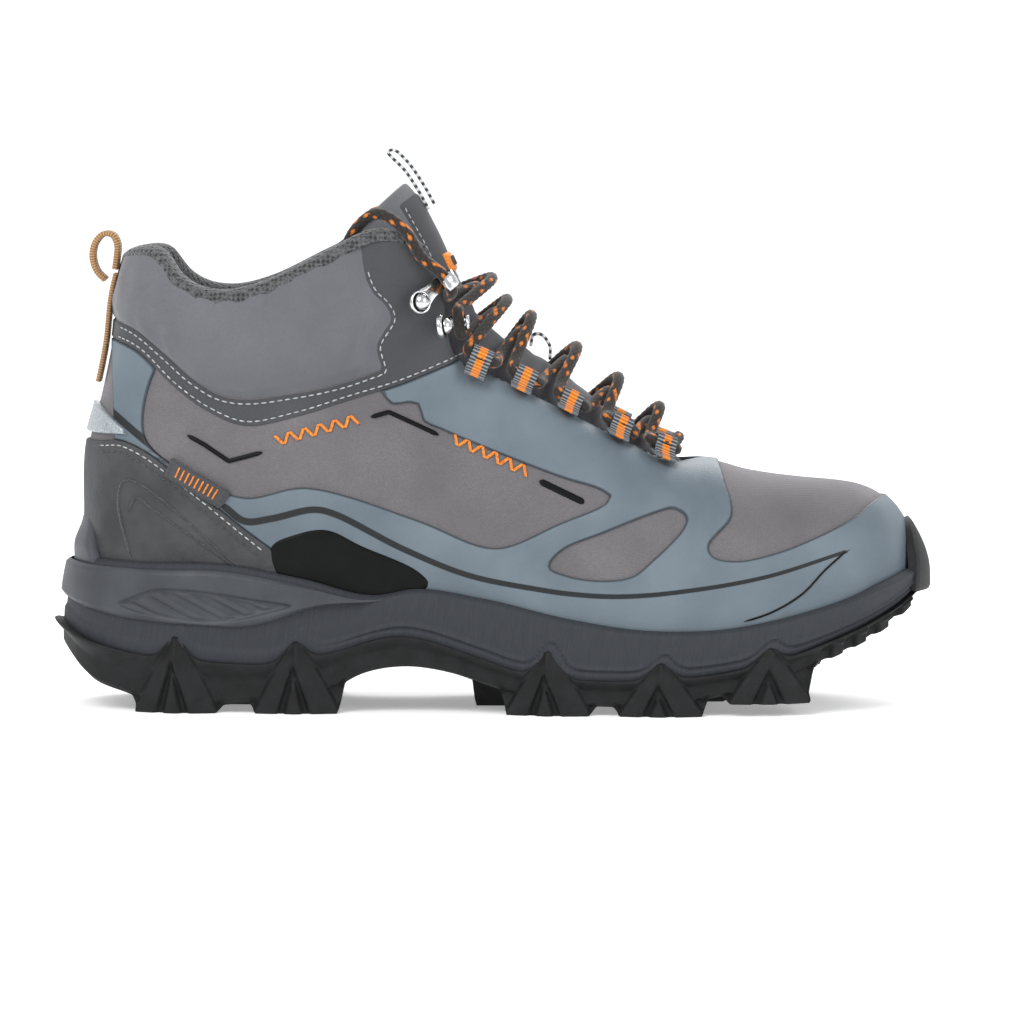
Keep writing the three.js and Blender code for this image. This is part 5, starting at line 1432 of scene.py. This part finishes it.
def stitched(name, lines, length, spacing, thickness, thread, slot, body="boot"):
    """Real stitches along 3-D lines in mm, as one mesh."""
    points, edges = [], []
    for line in lines:
        start = len(points)
        points += (np.asarray(line) * MM).tolist()
        edges += [(start + i, start + i + 1) for i in range(len(line) - 1)]
    mesh = bpy.data.meshes.new(name + "_lines")
    mesh.from_pydata(points, edges, [])
    guide = bpy.data.objects.new(name + "_lines", mesh)
    bpy.context.scene.collection.objects.link(guide)
    made = guide.modifiers.new("stitches", "NODES")
    made.node_group = STITCHES
    sockets = {s.name: s.identifier for s in STITCHES.interface.items_tree if s.in_out == "INPUT"}
    made[sockets["Stitch Length"]] = length * MM
    made[sockets["Spacing"]] = spacing * MM
    made[sockets["Thickness"]] = thickness * MM
    made[sockets["Thread"]] = thread
    result = bpy.data.meshes.new_from_object(guide.evaluated_get(bpy.context.evaluated_depsgraph_get()))
    result.polygons.foreach_set("use_smooth", [True] * len(result.polygons))
    guide.modifiers.remove(made)
    bpy.data.objects.remove(guide)
    done = bpy.data.objects.new(name, result)
    bpy.context.scene.collection.objects.link(done)
    hand_over(done, body, slot)


seam_lines, dark_lines = [], []
for side in (-1, 1):
    seam_lines.append(laid(moved(BAND_FOOT[3:], 1.6), side, BAND_DEPTH + 0.2))
    seam_lines.append(laid(moved(BAND_TOP[4:], -1.3)[:-24], side, BAND_DEPTH + 0.2))
    heel_seam = spline([(-134, 90.8), (-128, 91), (-119.5, 87.3), (-102.8, 75), (-85.6, 61.3), (-80, 56.9)], 90)
    seam_lines.append(laid(heel_seam, side, LEATHER_DEPTH + 0.2))
    dark_lines.append(laid(moved(heel_seam, -2.2), side, LEATHER_DEPTH + 0.2))
    throat = np.linspace(0.575, 0.745, 90)
    dark_lines.append(skin(throat if side < 0 else 2 - throat, 0.976, FILM_DEPTH + 0.2))
stitched("pale_seam_stitches", seam_lines, 2.0, 2.7, 0.55, SEAM_THREAD, "grey_webbing")
stitched("dark_seam_stitches", dark_lines, 2.0, 2.7, 0.5, DARK_THREAD, "facing")


# Raised embroidery in place of any mark: slanted bars of orange satin stitch that join into a zigzag.
EMBROIDERED = (((-74.5, 92), (-46, 99.5)), ((-14.5, 93), (11.5, 81.5)))
BARS = 11


def embroidery():
    lines = []
    for side in (-1, 1):
        for start, end in np.array(EMBROIDERED, float):
            way = unit(end - start)
            up = np.array((-way[1], way[0])) * 2.9
            for i in range(BARS):
                foot = mix(start, end, (i + 0.5) / BARS)
                lean = way * 0.9 * (1 if i % 2 else -1)
                for shift in (0.0, 0.45):
                    low, high = foot - lean + way * shift, foot + lean + way * shift + up
                    lines.append(laid([low, (low + high) / 2, high], side, 0.4))
    stitched("orange_satin_bars", lines, 0.8, 0.45, 0.75, ORANGE_THREAD, "orange_webbing")


embroidery()


def creased(line, count=60):
    """Evenly spaced points along straight runs, with just the corners eased."""
    p = np.array(line, float)
    run = run_along(p)
    want = np.linspace(0, run[-1], count + 1)
    even = np.stack([np.interp(want, run, p[:, c]) for c in range(2)], axis=1)
    eased = even.copy()
    eased[1:-1] = (even[:-2] + 2 * even[1:-1] + even[2:]) / 4
    return eased


def raised_bar(name, line, width, depth, finish, slot, rise=0.7):
    """A low rounded bar on both sides of the upper, tapered at its ends."""
    made_points, made_faces = [], []
    path = creased(line)
    place = np.arange(len(path))
    taper = np.minimum(1, np.minimum(place, place[::-1]) / 4) ** 0.5
    across = (moved(path, 1) - path) * (width / 2 * taper)[:, None]
    for side in (-1, 1):
        rows = [laid(path + across * k, side, depth + lift)
                for k, lift in ((-1, -0.5), (-0.75, rise * 0.7), (0, rise), (0.75, rise * 0.7), (1, -0.5))]
        faces = lattice(len(rows), len(path), start=sum(len(p) for p in made_points))
        made_points.append(np.concatenate(rows))
        made_faces.append(faces if side < 0 else faces[:, ::-1])
    made = piece(name, np.concatenate(made_points), np.concatenate(made_faces), [finish])
    hand_over(made, "boot", slot)


# Dark moulded bars beside the embroidery, a short one ahead of it, and the heel panel's and the toe's thin lines.
raised_bar("rear_side_bar", [(-105, 95.2), (-99, 92), (-90.6, 86.5), (-79, 89.6)], 1.7, 0.1, BLACK, "black_film")
raised_bar("front_side_bar", [(-42, 101.5), (-35.7, 103.2), (-18.5, 95.2)], 1.7, 0.1, BLACK, "black_film")
raised_bar("slot_bar", [(16.1, 79.8), (31.5, 72.5)], 2.6, 0.0, BLACK, "black_film")
raised_bar("heel_outer_line", loop_line, 0.8, LEATHER_DEPTH + 0.1, DARK_THREAD, "facing", rise=0.3)
raised_bar("heel_inner_line", inner_loop, 0.7, LEATHER_DEPTH + 0.1, DARK_THREAD, "facing", rise=0.3)
raised_bar("toe_return_line", return_line[:-8], 0.8, FILM_DEPTH + 0.1, BLACK, "black_film", rise=0.25)

# The label's plain woven pattern: a row of short orange stitches inside a dark frame.
label_marks = []
for place in np.linspace(0.18, 0.82, 9):
    foot = mix(np.array(LABEL[3]), np.array(LABEL[2]), place)
    head = mix(np.array(LABEL[0]), np.array(LABEL[1]), place)
    mark = [mix(foot, head, k) for k in (0.28, 0.5, 0.72)]
    label_marks.append(laid(mark, -1, LABEL_DEPTH + 0.15))
stitched("label_woven_marks", label_marks, 0.8, 0.5, 0.7, ORANGE_THREAD, "orange_webbing")
frame_line = creased([mix(np.array(LABEL[i % 4]), np.mean(LABEL, axis=0), 0.1) for i in range(5)], 80)
stitched("label_frame_stitches", [laid(frame_line, -1, LABEL_DEPTH + 0.1)], 1.3, 1.7, 0.4, DARK_THREAD, "facing")

# Stitches round the tongue patch, and the badge's plain dark bars.
patch_line = [tongue_point(t, q, 1.25) for t, q in
              [(0.76, -0.37), (0.85, -0.37), (0.95, -0.37), (0.95, 0.0), (0.95, 0.37), (0.85, 0.37), (0.76, 0.37)]]
patch_line = np.vstack([np.linspace(a, b, 12) for a, b in zip(patch_line[:-1], patch_line[1:])])
stitched("tongue_patch_stitches", [patch_line], 1.8, 2.5, 0.45, SEAM_THREAD, "grey_webbing", "tongue")
badge_marks = [[tongue_point(t, q, 2.35) for t in (0.765, 0.775, 0.785)] for q in np.linspace(-0.12, 0.12, 5)]
stitched("tongue_badge_marks", badge_marks, 0.7, 0.5, 0.7, DARK_THREAD, "facing", "tongue")


# ---------------------------------------------------------------- lace tabs and hooks
def tab_line():
    """Side section of a tab's outer face: flat on the film, up and over the lace, and back under."""
    loop = [(-0.6 + TAB_LOOP * math.cos(a), TAB_FLOOR + TAB_LOOP + TAB_LOOP * math.sin(a))
            for a in np.linspace(1.1, 4.5, 12)]
    return [(8.0, TAB_FLOOR + 0.9), (5.4, TAB_FLOOR + 1.5), (2.9, TAB_FLOOR + TAB_LOOP * 0.9)] + loop + \
        [(1.6, TAB_FLOOR - 0.1), (5.0, TAB_FLOOR + 0.1)]


def webbing_tab(number, name, tab):
    """A ribbed webbing loop sewn down beside the throat."""
    path = spline(tab_line(), 60)
    way = unit(np.gradient(path, axis=0))
    inner = np.stack([way[:, 1], -way[:, 0]], axis=1)
    run = run_along(path)
    half, rib, wall = 3.7, 0.12, 0.85
    across = np.linspace(-1, 1, 13)
    ribbed = path + inner * (rib * np.cos(run * 2 * math.pi / RIB_PITCH))[:, None]
    face = np.array([[tab.at(d, o, share * half) for d, o in ribbed] for share in across])
    back = np.array([[tab.at(d, o, share * half) for d, o in path - inner * wall] for share in across[::-1]])
    ring = np.concatenate([face, back]).transpose(1, 0, 2)
    n = ring.shape[1]
    runs = np.repeat(run[:, None], n, 1)
    sides = np.broadcast_to(np.concatenate([across, across[::-1]]), runs.shape)
    made = piece(f"webbing_tab_{name}_{number}", ring, tube_faces(len(path), n), [TAB_WEB], run=runs, across=sides)
    outward(made)
    hand_over(made, "boot", "grey_webbing", f"lace_tab_{name}_{number}")


RIVET_DOWN, RIVET_SIZE = 10, 1.12      # rivet's place on the plate, and its share of the drawn profile


def plated_hook(number, name, hook):
    """A plate that is riveted down and curls up over the lace, and its domed rivet."""
    curl = [(-1.4 + 3.3 * math.cos(a), 4.5 + 3.3 * math.sin(a)) for a in np.linspace(4.7, 1.2, 14)]
    line = spline([(13.2, 0.75), (10, 0.72), (4, 0.72), (0.5, 0.8)] + curl + [(2.2, 8.3)], 60)
    way = unit(np.gradient(line, axis=0))
    side = np.stack([-way[:, 1], way[:, 0]], axis=1)
    run = np.linspace(0, 1, len(line))
    half = mix(3.9, 2.6, ramp(0.12, 0.36, run)) * np.minimum(1, run * 14 + 0.3) ** 0.5
    half = half * mix(1.0, 0.82, ramp(0.9, 1.0, run))
    section = [(-1, -0.2), (-0.93, -0.42), (0, -0.45), (0.93, -0.42), (1, -0.2), (1, 0.2), (0.93, 0.42), (0, 0.45),
               (-0.93, 0.42), (-1, 0.2)]
    ring = np.array([[hook.at(p[0] + s[0] * t, p[1] + s[1] * t, a * h) for a, t in section]
                     for p, s, h in zip(line, side, half)])
    plate = piece(f"chrome_hook_{name}_{number}", ring, tube_faces(len(line), len(section)), [CHROME])
    outward(plate)
    hand_over(plate, "boot", "hook_chrome", f"hook_{name}_{number}")
    profile = spline([(3.75, 0.2), (3.8, 1.2), (3.45, 1.9), (2.9, 1.75), (2.6, 1.9), (2.5, 2.9), (1.9, 3.9), (1.0, 4.5),
                      (0.05, 4.7)], 34)
    turn = np.linspace(0, 2 * math.pi, 40, endpoint=False)
    rings = np.array([[hook.at(RIVET_DOWN + RIVET_SIZE * r * math.cos(a), h, RIVET_SIZE * r * math.sin(a))
                       for a in turn] for r, h in profile])
    # The groove between the rivet's rim and its dome gets the gloss black finish: painted shade in the groove.
    r, h = profile[:-1].T
    groove = ((r > 2.45) & (r < 3.1) & (h < 2.3)).astype(int)
    slots = np.append(np.repeat(groove, len(turn)), [0, 0])
    dome = piece(f"domed_rivet_{name}_{number}", rings, tube_faces(len(profile), len(turn)), [CHROME, BLACK],
                 slots=slots)
    outward(dome)
    hand_over(dome, "boot", "hook_chrome", f"rivet_{name}_{number}")


for side, name in ((-1, "lateral"), (1, "medial")):
    for i, tab in enumerate(TABS[side]):
        webbing_tab(i + 1, name, tab)
    for i, hook in enumerate(HOOKS[side]):
        plated_hook(i + 1, name, hook)

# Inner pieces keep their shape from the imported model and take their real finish.
for node, finish in (("insole_board", FIBREBOARD), ("heel_stiffener", FIBREBOARD), ("toe_puff", FIBREBOARD),
                     ("shank", SHANK_STEEL), ("footbed", FOOTBED_CLOTH)):
    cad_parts[node].data.materials.clear()
    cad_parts[node].data.materials.append(finish)
